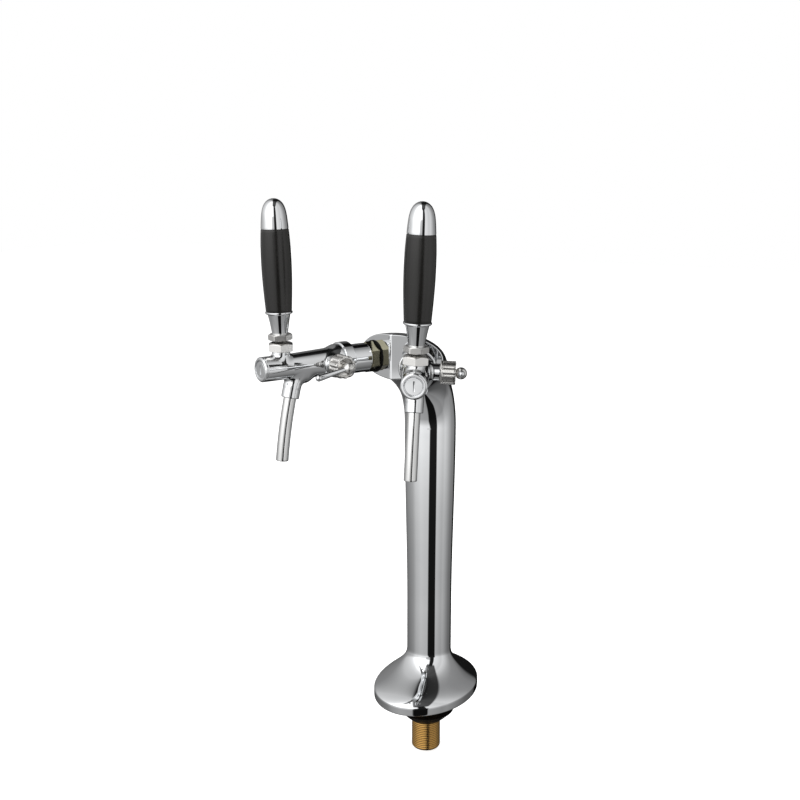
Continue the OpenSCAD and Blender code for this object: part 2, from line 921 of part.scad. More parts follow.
module front_plug() {
    bevel = 1.2;
    disc_r_in = body_r - 4;
    groove_w = 0.7;
    slot_w = 1.8;
    color(chrome)
        difference() {
            union() {
                along_tap(nose_y)
                    cylinder(r1 = body_r - bevel, r2 = body_r, h = bevel);
                along_tap(nose_y + bevel)
                    cylinder(r = body_r, h = plug_t - bevel);
                along_tap(nose_y + bevel)
                    cylinder(r = plug_spigot_r - thread_fit, h = plug_t - bevel + plug_spigot_l);
            }
            along_tap(nose_y - 1)
                tube(disc_r_in + groove_w, disc_r_in, 1.5);
            translate([-slot_w / 2, nose_y - 1, -disc_r_in * 0.6])
                cube([slot_w, 2, disc_r_in * 1.2]);
            along_tap(nose_y + plug_t + 1)
                cylinder(r = barrel_r - 2, h = plug_spigot_l);
        }
}

module spout_tube() {
    color(steel)
        difference() {
            spout_bar(spout_r, socket_slope, outlet_slope);
            spout_bar(spout_r - spout_wall, socket_slope + 0.1, outlet_slope - 0.1);
        }
}

// Ball joint

module ball_seat() {
    color(seal)
        difference() {
            union() {
                translate([0, 0, socket_floor])
                    cylinder(r = socket_r - thread_fit, h = lower_seat_h);
                translate([0, 0, upper_seat_z])
                    cylinder(r = socket_r - thread_fit, h = seat_ring_top - upper_seat_z);
            }
            translate([0, 0, pivot_h])
                sphere(r = ball_r + run_fit, $fn = 96);
            cylinder(r = finger_hole_r, h = pivot_h);
            translate([0, 0, pivot_h])
                cylinder(r = ring_hole_r, h = 10);
        }
}

module bonnet_nut() {
    color(nickel)
        difference() {
            translate([0, 0, boss_shoulder])
                nut(bonnet_af, bonnet_top - boss_shoulder, swing_low_r, 1.9, 0.8, bonnet_inset);
            translate([0, 0, boss_shoulder - 1])
                cylinder(r = boss_thread_r + thread_fit, h = boss_top - boss_shoulder + 1.1);
            translate([0, 0, boss_top])
                cylinder(r1 = swing_low_r, r2 = swing_top_r, h = bonnet_top - boss_top + eps);
            translate([0, 0, bonnet_top - seal_t])
                cylinder(r = seal_out_r, h = seal_t + 1);
        }
}

module dust_seal() {
    color(black)
        translate([0, 0, bonnet_top - seal_t])
            tube(seal_out_r - thread_fit, seal_in_r, seal_t);
}

module lever_stem() {
    color(nickel) {
        translate([0, 0, pivot_h])
            sphere(r = ball_r, $fn = 96);
        cylinder(r = finger_r, h = pivot_h);
        sphere(r = finger_tip_r);
        leaning() {
            translate([0, 0, pivot_h])
                cylinder(r = neck_stem_r, h = jam_z - pivot_h);
            translate([0, 0, jam_z])
                cylinder(r = thread_r, h = rod_top - jam_z);
        }
    }
}

module jam_nut() {
    color(nickel)
        leaning()
            translate([0, 0, jam_z])
                rotate([0, 0, 30])
                    nut(jam_af, jam_h, thread_r + thread_fit, 3, 0.8);
}

module ferrule() {
    color(chrome)
        leaning()
            translate([0, 0, ferrule_z])
                difference() {
                    rotate_extrude()
                        polygon(concat(
                            [[0, 0], [ferrule_foot_r, 0]],
                            [[ferrule_top_r, ferrule_h - bead_h - 0.4]],
                            [
                                for (a = [-75 : 15 : 75])
                                    [bead_r - bead_h / 2 + bead_h / 2 * cos(a),
                                     ferrule_h - bead_h / 2 - 0.2 + bead_h / 2 * sin(a)]
                            ],
                            [[grip_foot_r - 0.6, ferrule_h], [0, ferrule_h]]
                        ));
                    translate([0, 0, -1])
                        cylinder(r = thread_r + thread_fit, h = ferrule_h + 2);
                }
}

// Radius of the grip at a share t of its length
function grip_radius(t) = t < grip_waist
    ? grip_foot_r + (grip_r - grip_foot_r) * sin(90 * t / grip_waist)
    : grip_r - (grip_r - dome_r) * pow((t - grip_waist) / (1 - grip_waist), 2);

module grip() {
    color(black)
        leaning()
            translate([0, 0, grip_z])
                difference() {
                    rotate_extrude()
                        polygon(concat(
                            [[0, 0]],
                            [for (t = [0 : 0.05 : 1.001]) [grip_radius(t), grip_h * t]],
                            [[0, grip_h]]
                        ));
                    translate([0, 0, -1])
                        cylinder(r = thread_r + thread_fit, h = rod_top - grip_z + 2);
                    translate([0, 0, grip_h - dome_spigot_l - 1])
                        cylinder(r = dome_spigot_r + thread_fit, h = dome_spigot_l + 2);
                }
}

// Radius of the dome at a share t of its height
function dome_radius(t) = t < dome_side
    ? dome_r - dome_taper * t / dome_side
    : (dome_r - dome_taper) * sqrt(1 - pow((t - dome_side) / (1 - dome_side), dome_bow));

module dome_cap() {
    color(chrome)
        leaning()
            translate([0, 0, dome_z])
                rotate_extrude()
                    polygon(concat(
                        [[0, -dome_spigot_l], [dome_spigot_r, -dome_spigot_l], [dome_spigot_r, 0]],
                        [for (t = [0 : 0.05 : 0.951]) [dome_radius(t), dome_h * t]],
                        [for (t = [0.97, 0.985, 0.995]) [dome_radius(t), dome_h * t]],
                        [[0, dome_h]]
                    ));
}

// Valve

module valve_piston() {
    color(steel)
        difference() {
            union() {
                along_tap(-guide_half)
                    cylinder(r = piston_r, h = 2 * guide_half);
                along_tap(0)
                    cylinder(r = piston_neck_r, h = seal_y);
                along_tap(0)
                    cylinder(r = piston_tail_r, h = seal_y + piston_seal_t + 0.6);
            }
            translate([-slot_half, -slot_half, -finger_tip_r - 0.6])
                cube([2 * slot_half, 2 * slot_half, 2 * barrel_r]);
        }
}

module piston_seal() {
    color(black)
        along_tap(seal_y)
            tube(piston_seal_r, piston_tail_r + thread_fit, piston_seal_t);
}

// Compensator

module side_cap() {
    color(nickel)
        difference() {
            along_side(cap_x)
                cylinder(r = cap_r, h = cap_l);
            along_side(cap_x)
                for (i = [0 : flutes - 1])
                    rotate([0, 0, 360 * (i + 0.5) / flutes])
                        translate([cap_r + flute_out, 0, flute_start])
                            cylinder(r = flute_r, h = cap_l, $fn = 24);
            along_side(cap_x - 1)
                cylinder(r = boss_side_thread_r + thread_fit, h = thread_side_l + 1.2);
            along_side(cap_x)
                cylinder(r = stem_r + run_fit, h = cap_l + 1);
            along_side(cap_x + cap_l - cup_depth)
                cylinder(r = cup_r, h = cup_depth + 1);
        }
}

module flow_stem(pitch) {
    color(nickel)
        difference() {
            union() {
                along_side(disc_x)
                    cylinder(r = disc_r, h = disc_t);
                along_side(disc_x + 1)
                    cylinder(r = stem_r, h = knob_x - disc_x - 1);
                along_side(knob_x)
                    sphere(r = knob_r);
                turned(pitch)
                    translate([crank_pin_x, 0, -crank])
                        rotate([0, 90, 0])
                            cylinder(r = crank_pin_r, h = disc_x - crank_pin_x + 1);
            }
            turned(pitch)
                translate([knob_x, -knob_r - 1, 0])
                    rotate([-90, 0, 0])
                        cylinder(r = rod_foot_r + thread_fit, h = lever_bore_l + 1);
        }
}

// Turns what points ahead from the compensator's axis upwards by pitch
module turned(pitch) {
    translate([0, side_y, 0])
        rotate([-pitch, 0, 0])
            children();
}

module flow_lever(pitch) {
    root = knob_r - lever_bore_l;
    color(nickel)
        turned(pitch)
            translate([knob_x, 0, 0])
                rotate([90, 0, 0]) {
                    translate([0, 0, root + 0.1])
                        cylinder(r = rod_foot_r, h = lever_straight_l);
                    translate([0, 0, root + lever_straight_l])
                        cylinder(r1 = rod_foot_r, r2 = rod_tip_r, h = lever_l - rod_tip_r - root - lever_straight_l);
                    translate([0, 0, lever_l - rod_tip_r])
                        sphere(r = rod_tip_r);
                }
}

// Distance that the throttle cone stands off its middle place at a pitch
function throw(pitch) = -crank * sin(pitch);

module throttle_cone(pitch) {
    slot_half_w = crank_pin_r + pass_gap;
    slot_half_h = crank + crank_pin_r + slot_play;
    color(seal)
        translate([0, throw(pitch), 0])
            difference() {
                union() {
                    along_tap(cone_tip_y)
                        cylinder(r1 = cone_tip_r, r2 = cone_full_r, h = cone_full_y - cone_tip_y);
                    along_tap(cone_full_y)
                        cylinder(r = cone_full_r, h = cone_end_y - cone_full_y);
                    intersection() {
                        along_tap(cone_full_y)
                            cylinder(r = fin_r, h = cone_end_y - cone_full_y);
                        for (a = [45, 135])
                            rotate([0, a, 0])
                                translate([-throttle_r, cone_full_y, -fin_t / 2])
                                    cube([2 * throttle_r, cone_end_y - cone_full_y, fin_t]);
                    }
                }
                translate([crank_pin_x - slot_play, side_y - slot_half_w, -slot_half_h])
                    cube([throttle_r, 2 * slot_half_w, 2 * slot_half_h]);
            }
}

tower_body();
base_plate();
base_screws();
counter_gasket();
mounting_shank();
clamp_washer();
clamp_nut();
left_beer_line();
right_beer_line();
cooling_loop();
on_tap(LEFT) tap_nipple();  // left_tap_nipple
on_tap(LEFT) inner_nut();  // left_inner_nut
on_tap(LEFT) face_washer();  // left_face_washer
on_tap(LEFT) face_nut();  // left_face_nut
on_tap(LEFT) tail_tube();  // left_tail_tube
on_tap(LEFT) coupling_nut();  // left_coupling_nut
on_tap(LEFT) valve_body();  // left_valve_body
on_tap(LEFT) front_plug();  // left_front_plug
on_tap(LEFT) spout_tube();  // left_spout_tube
on_tap(LEFT) ball_seat();  // left_ball_seat
on_tap(LEFT) bonnet_nut();  // left_bonnet_nut
on_tap(LEFT) dust_seal();  // left_dust_seal
on_tap(LEFT) lever_stem();  // left_lever_stem
on_tap(LEFT) jam_nut();  // left_jam_nut
on_tap(LEFT) ferrule();  // left_ferrule
on_tap(LEFT) grip();  // left_grip
on_tap(LEFT) dome_cap();  // left_dome_cap
on_tap(LEFT) valve_piston();  // left_valve_piston
on_tap(LEFT) piston_seal();  // left_piston_seal
on_tap(LEFT) side_cap();  // left_side_cap
on_tap(LEFT) flow_stem(left_pitch);  // left_flow_stem
on_tap(LEFT) flow_lever(left_pitch);  // left_flow_lever
on_tap(LEFT) throttle_cone(left_pitch);  // left_throttle_cone
on_tap(RIGHT) tap_nipple();  // right_tap_nipple
on_tap(RIGHT) inner_nut();  // right_inner_nut
on_tap(RIGHT) face_washer();  // right_face_washer
on_tap(RIGHT) face_nut();  // right_face_nut
on_tap(RIGHT) tail_tube();  // right_tail_tube
on_tap(RIGHT) coupling_nut();  // right_coupling_nut
on_tap(RIGHT) valve_body();  // right_valve_body
on_tap(RIGHT) front_plug();  // right_front_plug
on_tap(RIGHT) spout_tube();  // right_spout_tube
on_tap(RIGHT) ball_seat();  // right_ball_seat
on_tap(RIGHT) bonnet_nut();  // right_bonnet_nut
on_tap(RIGHT) dust_seal();  // right_dust_seal
on_tap(RIGHT) lever_stem();  // right_lever_stem
on_tap(RIGHT) jam_nut();  // right_jam_nut
on_tap(RIGHT) ferrule();  // right_ferrule
on_tap(RIGHT) grip();  // right_grip
on_tap(RIGHT) dome_cap();  // right_dome_cap
on_tap(RIGHT) valve_piston();  // right_valve_piston
on_tap(RIGHT) piston_seal();  // right_piston_seal
on_tap(RIGHT) side_cap();  // right_side_cap
on_tap(RIGHT) flow_stem(right_pitch);  // right_flow_stem
on_tap(RIGHT) flow_lever(right_pitch);  // right_flow_lever
on_tap(RIGHT) throttle_cone(right_pitch);  // right_throttle_cone
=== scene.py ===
"""Studio scene of a swept two-tap beer tower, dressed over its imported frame.

Lengths inside the pieces are millimetres in the same frame as the solids: the
origin is on the shank's axis at the counter's top surface, +Z is up and the
taps point towards -Y. They become metres when a mesh is finished.
"""
from __future__ import annotations

import json
import logging
import math
from dataclasses import dataclass, field
from enum import Enum
from typing import Callable, Iterable, Sequence, Union

import bmesh
import bpy
import numpy as np
import openvdb
from mathutils import Matrix, Vector

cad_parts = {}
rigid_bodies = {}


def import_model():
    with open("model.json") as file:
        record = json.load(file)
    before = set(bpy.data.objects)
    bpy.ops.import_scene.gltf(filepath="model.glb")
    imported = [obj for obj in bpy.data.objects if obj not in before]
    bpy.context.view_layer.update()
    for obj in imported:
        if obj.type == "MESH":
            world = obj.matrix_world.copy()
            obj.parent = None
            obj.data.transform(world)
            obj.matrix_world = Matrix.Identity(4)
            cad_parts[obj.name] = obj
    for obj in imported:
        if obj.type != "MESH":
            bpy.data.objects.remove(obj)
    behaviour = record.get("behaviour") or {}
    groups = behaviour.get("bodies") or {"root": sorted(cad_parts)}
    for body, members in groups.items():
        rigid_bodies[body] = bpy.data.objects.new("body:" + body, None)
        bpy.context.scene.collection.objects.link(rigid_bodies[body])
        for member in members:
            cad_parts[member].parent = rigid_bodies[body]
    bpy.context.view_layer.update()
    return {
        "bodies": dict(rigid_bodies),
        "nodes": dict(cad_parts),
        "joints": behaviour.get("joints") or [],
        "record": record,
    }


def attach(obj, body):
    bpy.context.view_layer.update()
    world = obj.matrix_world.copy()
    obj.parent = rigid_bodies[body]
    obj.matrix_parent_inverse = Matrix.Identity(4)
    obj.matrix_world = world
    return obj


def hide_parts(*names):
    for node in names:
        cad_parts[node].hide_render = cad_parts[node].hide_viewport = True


LOG = logging.getLogger("tower")
MM = 0.001
MERGE = 0.002
SLIVER = 0.0001
Point = tuple[float, float]
Array = np.ndarray


class Side(Enum):
    """The two taps, as seen by someone facing their front ends."""

    LEFT = -1
    RIGHT = 1

    @property
    def prefix(self) -> str:
        """Start of this side's node names."""
        return self.name.lower()


# Node graphs


class Sock:
    """An output socket that takes part in arithmetic."""

    def __init__(self, graph: "Graph", socket: bpy.types.NodeSocket) -> None:
        """Wrap one output socket of a graph."""
        self.graph = graph
        self.socket = socket

    def _math(self, operation: str, *values: "Value") -> "Sock":
        """Add one Math node.

        Args:
            operation: the Math node's operation.
            values: its inputs in order.
        Returns:
            The node's result.
        """
        return self.graph.node("ShaderNodeMath", {"operation": operation}, dict(enumerate(values)))

    def __add__(self, other: "Value") -> "Sock":
        """Sum."""
        return self._math("ADD", self, other)

    __radd__ = __add__

    def __sub__(self, other: "Value") -> "Sock":
        """Difference."""
        return self._math("SUBTRACT", self, other)

    def __rsub__(self, other: "Value") -> "Sock":
        """Difference, reflected."""
        return self._math("SUBTRACT", other, self)

    def __mul__(self, other: "Value") -> "Sock":
        """Product."""
        return self._math("MULTIPLY", self, other)

    __rmul__ = __mul__

    def __truediv__(self, other: "Value") -> "Sock":
        """Quotient."""
        return self._math("DIVIDE", self, other)

    def call(self, operation: str, *values: "Value") -> "Sock":
        """Apply a named Math operation to this value and others."""
        return self._math(operation, self, *values)

    def clamp(self) -> "Sock":
        """This value held between 0 and 1."""
        return self._math("MINIMUM", self._math("MAXIMUM", self, 0.0), 1.0)

    def band(self, low: float, high: float, soft: float) -> "Sock":
        """A mask that is 1 between two values.

        Args:
            low: where the mask starts to rise.
            high: where the mask has fallen to nothing.
            soft: width of the rise and of the fall.
        Returns:
            The mask.
        """
        return ((self - low) / soft).clamp() * ((high - self) / soft).clamp()


Value = Union[Sock, float, int, Sequence[float]]


class Graph:
    """Builds nodes in one tree."""

    def __init__(self, tree: bpy.types.NodeTree) -> None:
        """Start on an emptied tree."""
        self.tree = tree
        tree.nodes.clear()

    def node(
        self,
        kind: str,
        settings: dict[str, object] | None = None,
        inputs: dict[int | str, Value] | None = None,
        output: int | str = 0,
    ) -> Sock:
        """Add a node, its settings first and then its inputs.

        Args:
            kind: the node's type name.
            settings: its properties; "stops" fills a colour ramp.
            inputs: values or links by socket index or name.
            output: which output to hand back.
        Returns:
            The chosen output, or the first when it has one.
        """
        node = self.tree.nodes.new(kind)
        for key, value in (settings or {}).items():
            if key == "stops":
                self._fill_ramp(node.color_ramp, value)
            else:
                setattr(node, key, value)
        for key, value in (inputs or {}).items():
            if isinstance(value, Sock):
                self.tree.links.new(value.socket, node.inputs[key])
            else:
                node.inputs[key].default_value = value
        return Sock(self, node.outputs[output]) if node.outputs else Sock(self, node.inputs[0])

    @staticmethod
    def _fill_ramp(ramp: bpy.types.ColorRamp, stops: Sequence[Point]) -> None:
        """Set a ramp's grey stops.

        Args:
            ramp: the colour ramp.
            stops: (place, level) from left to right.
        """
        while len(ramp.elements) < len(stops):
            ramp.elements.new(1.0)
        for element, (place, level) in zip(ramp.elements, stops):
            element.position = place
            element.color = (level, level, level, 1.0)

    def mix(self, factor: Value, first: Value, second: Value) -> Sock:
        """Mix two colours."""
        return self.node(
            "ShaderNodeMix", {"data_type": "RGBA"}, {0: factor, 6: first, 7: second}, output=2
        )


# Finishes


@dataclass(frozen=True)
class Finish:
    """How one surface looks.

    The pattern is read from Object coordinates. Turned pieces carry a
    "station" attribute, the distance along their outline in millimetres, which
    gives the fine rings that a lathe leaves.
    """

    name: str
    slot: str
    color: tuple[float, float, float]
    patch: tuple[float, float, float]
    rough: Point
    metallic: float = 1.0
    grain: float = 900.0
    bump: float = 0.0
    rings: float = 0.0
    ring_pitch: float = 0.35
    coat: float = 0.0
    shine: float = 0.5

    def build(self) -> bpy.types.Material:
        """Make the material.

        Returns:
            The finished material.
        """
        material = bpy.data.materials.new(self.name)
        material.use_nodes = True
        graph = Graph(material.node_tree)
        place = graph.node("ShaderNodeTexCoord", output="Object")
        broad = graph.node(
            "ShaderNodeTexNoise", {}, {"Vector": place, "Scale": 38.0, "Detail": 3.0}
        )
        fine = graph.node(
            "ShaderNodeTexNoise", {}, {"Vector": place, "Scale": self.grain, "Detail": 5.0}
        )
        station = graph.node("ShaderNodeAttribute", {"attribute_name": "station"}, {}, "Fac")
        ring = (station * (math.tau / self.ring_pitch)).call("SINE") * 0.5 + 0.5
        low, high = self.rough
        cloud = (broad - 0.35) * 2.2
        rough = low + (high - low) * (cloud * 0.55 + fine * 0.45).clamp()
        color = graph.mix(cloud.clamp(), (*self.color, 1.0), (*self.patch, 1.0))
        height = fine * (1.0 - self.rings) + ring * self.rings
        normal = graph.node(
            "ShaderNodeBump",
            {},
            {"Strength": min(1.0, self.bump), "Distance": 0.00012, "Height": height},
        )
        shader = graph.node(
            "ShaderNodeBsdfPrincipled",
            {},
            {
                "Base Color": color,
                "Roughness": rough,
                "Metallic": self.metallic,
                "Coat Weight": self.coat,
                "Coat Roughness": 0.12,
                "Specular IOR Level": self.shine,
                "Normal": normal,
            },
        )
        graph.node("ShaderNodeOutputMaterial", {}, {"Surface": shader})
        return material


FINISHES = (
    Finish("mirror_chrome", "chrome", (0.84, 0.85, 0.86), (0.80, 0.81, 0.825), (0.018, 0.045),
           grain=260.0, bump=0.004),
    Finish("cast_chrome", "chrome", (0.84, 0.85, 0.86), (0.78, 0.79, 0.80), (0.03, 0.09),
           grain=420.0, bump=0.03),
    Finish("satin_nickel", "nickel", (0.86, 0.85, 0.83), (0.80, 0.79, 0.765), (0.25, 0.34),
           grain=500.0, bump=0.03, rings=0.2),
    Finish("fluted_nickel", "nickel", (0.80, 0.785, 0.76), (0.72, 0.705, 0.68), (0.22, 0.32),
           grain=500.0, bump=0.04, rings=0.1),
    Finish("polished_stainless", "stainless", (0.78, 0.78, 0.775), (0.71, 0.71, 0.705),
           (0.08, 0.16), grain=600.0, bump=0.04, rings=0.5),
    Finish("zinc_plate", "zinc_steel", (0.62, 0.64, 0.66), (0.55, 0.58, 0.62), (0.28, 0.5),
           bump=0.2),
    Finish("machined_brass", "brass", (0.46, 0.266, 0.080), (0.38, 0.214, 0.062), (0.20, 0.28),
           grain=400.0, bump=0.012, rings=0.1),
    Finish("olive_brass", "aged_brass", (0.34, 0.32, 0.225), (0.26, 0.24, 0.165), (0.14, 0.22),
           grain=500.0, bump=0.05, rings=0.4),
    Finish("black_rubber", "black_rubber", (0.0045, 0.0045, 0.0048), (0.0075, 0.0072, 0.0072),
           (0.5, 0.7), metallic=0.0, grain=1600.0, bump=0.3, shine=0.12),
    Finish("black_nylon", "black_plastic", (0.0045, 0.0045, 0.0048), (0.0070, 0.0070, 0.0074),
           (0.38, 0.52), metallic=0.0, grain=1400.0, bump=0.2, shine=0.2),
    Finish("satin_black_grip", "black_grip", (0.0085, 0.0080, 0.0072), (0.0120, 0.0112, 0.0100),
           (0.22, 0.29), metallic=0.0, grain=900.0, bump=0.012, coat=0.1),
    Finish("ivory_plastic", "seat_plastic", (0.80, 0.77, 0.68), (0.74, 0.70, 0.60),
           (0.35, 0.5), metallic=0.0, bump=0.1),
    Finish("hose_plastic", "line_plastic", (0.74, 0.77, 0.75), (0.68, 0.71, 0.70),
           (0.22, 0.36), metallic=0.0, bump=0.1),
)


class Wardrobe:
    """The finishes as materials, and the slot that each belongs to."""

    def __init__(self, frame: dict) -> None:
        """Build every finish once.

        Args:
            frame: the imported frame.
        """
        self.frame = frame
        self.materials = {finish.name: finish.build() for finish in FINISHES}
        self.slots = {finish.name: finish.slot for finish in FINISHES}

    def dress(self, piece: bpy.types.Object, finish: str, body: str, *nodes: str) -> None:
        """Give a piece its finish and body, and hide the nodes it stands for.

        Args:
            piece: the finished object.
            finish: the finish's name.
            body: the body that carries it.
            nodes: the CAD nodes that it replaces.
        """
        piece.data.materials.clear()
        piece.data.materials.append(self.materials[finish])
        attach(piece, body)
        if nodes:
            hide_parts(*nodes)
        LOG.info("%s: %s on %s, %d faces", piece.name, finish, body, len(piece.data.polygons))

    def dress_node(self, node: str, finish: str) -> None:
        """Give a carried-over CAD node its finish.

        Args:
            node: the node's name.
            finish: the finish's name.
        """
        data = self.frame["nodes"][node].data
        data.materials.clear()
        data.materials.append(self.materials[finish])


# Meshes


def smooth(value: float) -> float:
    """Ease from 0 to 1 as the value goes from 0 to 1."""
    held = min(max(value, 0.0), 1.0)
    return held * held * (3.0 - 2.0 * held)


def signed_power(value: float, exponent: float) -> float:
    """A superellipse's coordinate for one exponent."""
    return math.copysign(abs(value) ** (2.0 / exponent), value)


def rounded(points: Sequence[tuple[float, ...]], steps: int = 4) -> list[Point]:
    """Round the corners of a profile.

    Args:
        points: (radius, station) or (radius, station, rounding) in order.
        steps: segments in each rounded corner.
    Returns:
        The profile with arcs, each with a point just before and after it.
    """
    path: list[Point] = []
    for index, point in enumerate(points):
        round_by = point[2] if len(point) > 2 else 0.0
        here = Vector(point[:2])
        if not round_by or index in (0, len(points) - 1):
            path.append(tuple(here))
            continue
        before = (Vector(points[index - 1][:2]) - here)
        after = (Vector(points[index + 1][:2]) - here)
        reach = min(round_by, before.length * 0.45, after.length * 0.45)
        start, end = here + before.normalized() * reach, here + after.normalized() * reach
        path.append(tuple(start + before.normalized() * reach * 0.25))
        for step in range(steps + 1):
            t = step / steps
            spot = start * (1 - t) ** 2 + here * 2 * t * (1 - t) + end * t * t
            path.append(tuple(spot))
        path.append(tuple(end + after.normalized() * reach * 0.25))
    return path


class Mesher:
    """Collects rings of points in millimetres and makes one object of them."""

    def __init__(self) -> None:
        """Start empty."""
        self.points: list[Array] = []
        self.stations: list[Array] = []
        self.faces: list[tuple[int, ...]] = []
        self.count = 0

    def add(self, ring: Array, station: float = 0.0) -> list[int]:
        """Add one ring of points.

        Args:
            ring: the points, one a row.
            station: the ring pattern's distance.
        Returns:
            The points' numbers.
        """
        self.points.append(np.asarray(ring, float))
        self.stations.append(np.full(len(ring), station))
        start = self.count
        self.count += len(ring)
        return list(range(start, self.count))

    def bridge(self, first: list[int], second: list[int], closed: bool = True) -> None:
        """Join two rows of equal length with quads.

        Args:
            first: point numbers of one row.
            second: point numbers of the next row.
            closed: whether the rows are loops.
        """
        last = len(first) if closed else len(first) - 1
        for i in range(last):
            j = (i + 1) % len(first)
            self.faces.append((first[i], first[j], second[j], second[i]))

    def rows(
        self, rings: Iterable[Array], stations: Sequence[float] | None = None
    ) -> list[list[int]]:
        """Join a list of closed rings into a skin.

        Args:
            rings: the rings in order, all with the same count.
            stations: the ring pattern's distance of each ring.
        Returns:
            The point numbers of each ring.
        """
        numbered = [
            self.add(ring, stations[i] if stations is not None else 0.0)
            for i, ring in enumerate(rings)
        ]
        for first, second in zip(numbered, numbered[1:]):
            self.bridge(first, second)
        return numbered

    def lathe(self, profile: Sequence[Point], count: int = 96) -> None:
        """Turn a profile about the Z axis.

        Args:
            profile: (radius, height) in order.
            count: points in each ring.
        """
        angles = np.arange(count) * (math.tau / count)
        rings = [
            np.c_[r * np.cos(angles), r * np.sin(angles), np.full(count, z)] for r, z in profile
        ]
        walked = np.r_[0.0, np.cumsum([math.dist(a, b) for a, b in zip(profile, profile[1:])])]
        self.rows(rings, list(walked))

    def finish(self, name: str, matrix: Matrix, sharp: float = 40.0) -> bpy.types.Object:
        """Make the object, its place applied to the mesh.

        Args:
            name: the piece's name.
            matrix: from local millimetres to world millimetres.
            sharp: angle in degrees above which an edge stays sharp.
        Returns:
            The object at the origin, in metres.
        """
        mesh = bpy.data.meshes.new(name)
        mesh.from_pydata(np.concatenate(self.points).tolist(), [], self.faces)
        layer = mesh.attributes.new("station", "FLOAT", "POINT")
        layer.data.foreach_set("value", np.concatenate(self.stations))
        form = bmesh.new()
        form.from_mesh(mesh)
        bmesh.ops.remove_doubles(form, verts=form.verts, dist=MERGE)
        bmesh.ops.dissolve_degenerate(form, edges=form.edges, dist=SLIVER)
        bmesh.ops.recalc_face_normals(form, faces=form.faces)
        form.to_mesh(mesh)
        form.free()
        return place(mesh, name, matrix, sharp)


def place(mesh: bpy.types.Mesh, name: str, matrix: Matrix, sharp: float = 40.0) -> bpy.types.Object:
    """Put a millimetre mesh in the scene as a smooth object in metres.

    Args:
        mesh: the mesh.
        name: the piece's name.
        matrix: from local millimetres to world millimetres.
        sharp: angle in degrees above which an edge stays sharp.
    Returns:
        The object.
    """
    mesh.transform(Matrix.Scale(MM, 4) @ matrix)
    mesh.shade_smooth()
    mesh.set_sharp_from_angle(angle=math.radians(sharp))
    mesh.validate()
    piece = bpy.data.objects.new(name, mesh)
    bpy.context.scene.collection.objects.link(piece)
    return piece


def turned(
    name: str, profile: Sequence[Point], matrix: Matrix, count: int = 96
) -> bpy.types.Object:
    """Make a turned piece from a profile.

    Args:
        name: the piece's name.
        profile: (radius, height) in order.
        matrix: from local millimetres to world millimetres.
        count: points in each ring.
    Returns:
        The piece.
    """
    mesher = Mesher()
    mesher.lathe(profile, count)
    return mesher.finish(name, matrix)


# Geometry nodes


@dataclass
class Rule:
    """A Geometry Nodes tree with named inputs, applied to a plain mesh."""

    name: str
    inputs: dict[str, float | int]
    build: Callable[[Graph, Sock, dict[str, Sock]], Sock]

    def apply(
        self, source: bpy.types.Mesh, name: str, matrix: Matrix, material: bpy.types.Material
    ) -> bpy.types.Object:
        """Run the tree on a mesh and keep the result as a plain mesh.

        Args:
            source: the mesh, in millimetres.
            name: the new piece's name.
            matrix: from local millimetres to world millimetres.
            material: what Set Material gives.
        Returns:
            The finished piece.
        """
        tree = bpy.data.node_groups.new(self.name, "GeometryNodeTree")
        face = tree.interface
        face.new_socket("Geometry", in_out="INPUT", socket_type="NodeSocketGeometry")
        keys = {
            label: face.new_socket(
                label,
                in_out="INPUT",
                socket_type="NodeSocketInt" if isinstance(value, int) else "NodeSocketFloat",
            ).identifier
            for label, value in self.inputs.items()
        }
        face.new_socket("Geometry", in_out="OUTPUT", socket_type="NodeSocketGeometry")
        graph = Graph(tree)
        entry = tree.nodes.new("NodeGroupInput")
        sizes = {label: Sock(graph, entry.outputs[label]) for label in self.inputs}
        shape = self.build(graph, Sock(graph, entry.outputs["Geometry"]), sizes)
        shape = graph.node("GeometryNodeRealizeInstances", {}, {0: shape})
        shape = graph.node("GeometryNodeSetMaterial", {}, {"Geometry": shape, "Material": material})
        graph.node("NodeGroupOutput", {}, {0: shape})
        carrier = bpy.data.objects.new(name + "_carrier", source)
        bpy.context.scene.collection.objects.link(carrier)
        modifier = carrier.modifiers.new(self.name, "NODES")
        modifier.node_group = tree
        for label, value in self.inputs.items():
            modifier[keys[label]] = value
        state = bpy.context.evaluated_depsgraph_get()
        mesh = bpy.data.meshes.new_from_object(carrier.evaluated_get(state))
        bpy.data.objects.remove(carrier)
        return place(mesh, name, matrix)

    def work(
        self, mesher: Mesher, name: str, matrix: Matrix, material: bpy.types.Material
    ) -> bpy.types.Object:
        """Run the tree on a mesher's blank and throw the blank away.

        Args:
            mesher: the blank's points and faces.
            name: the new piece's name.
            matrix: from local millimetres to world millimetres.
            material: what Set Material gives.
        Returns:
            The finished piece.
        """
        blank = mesher.finish(name + "_blank", Matrix.Scale(1.0 / MM, 4))
        piece = self.apply(blank.data, name, matrix, material)
        bpy.data.objects.remove(blank)
        return piece


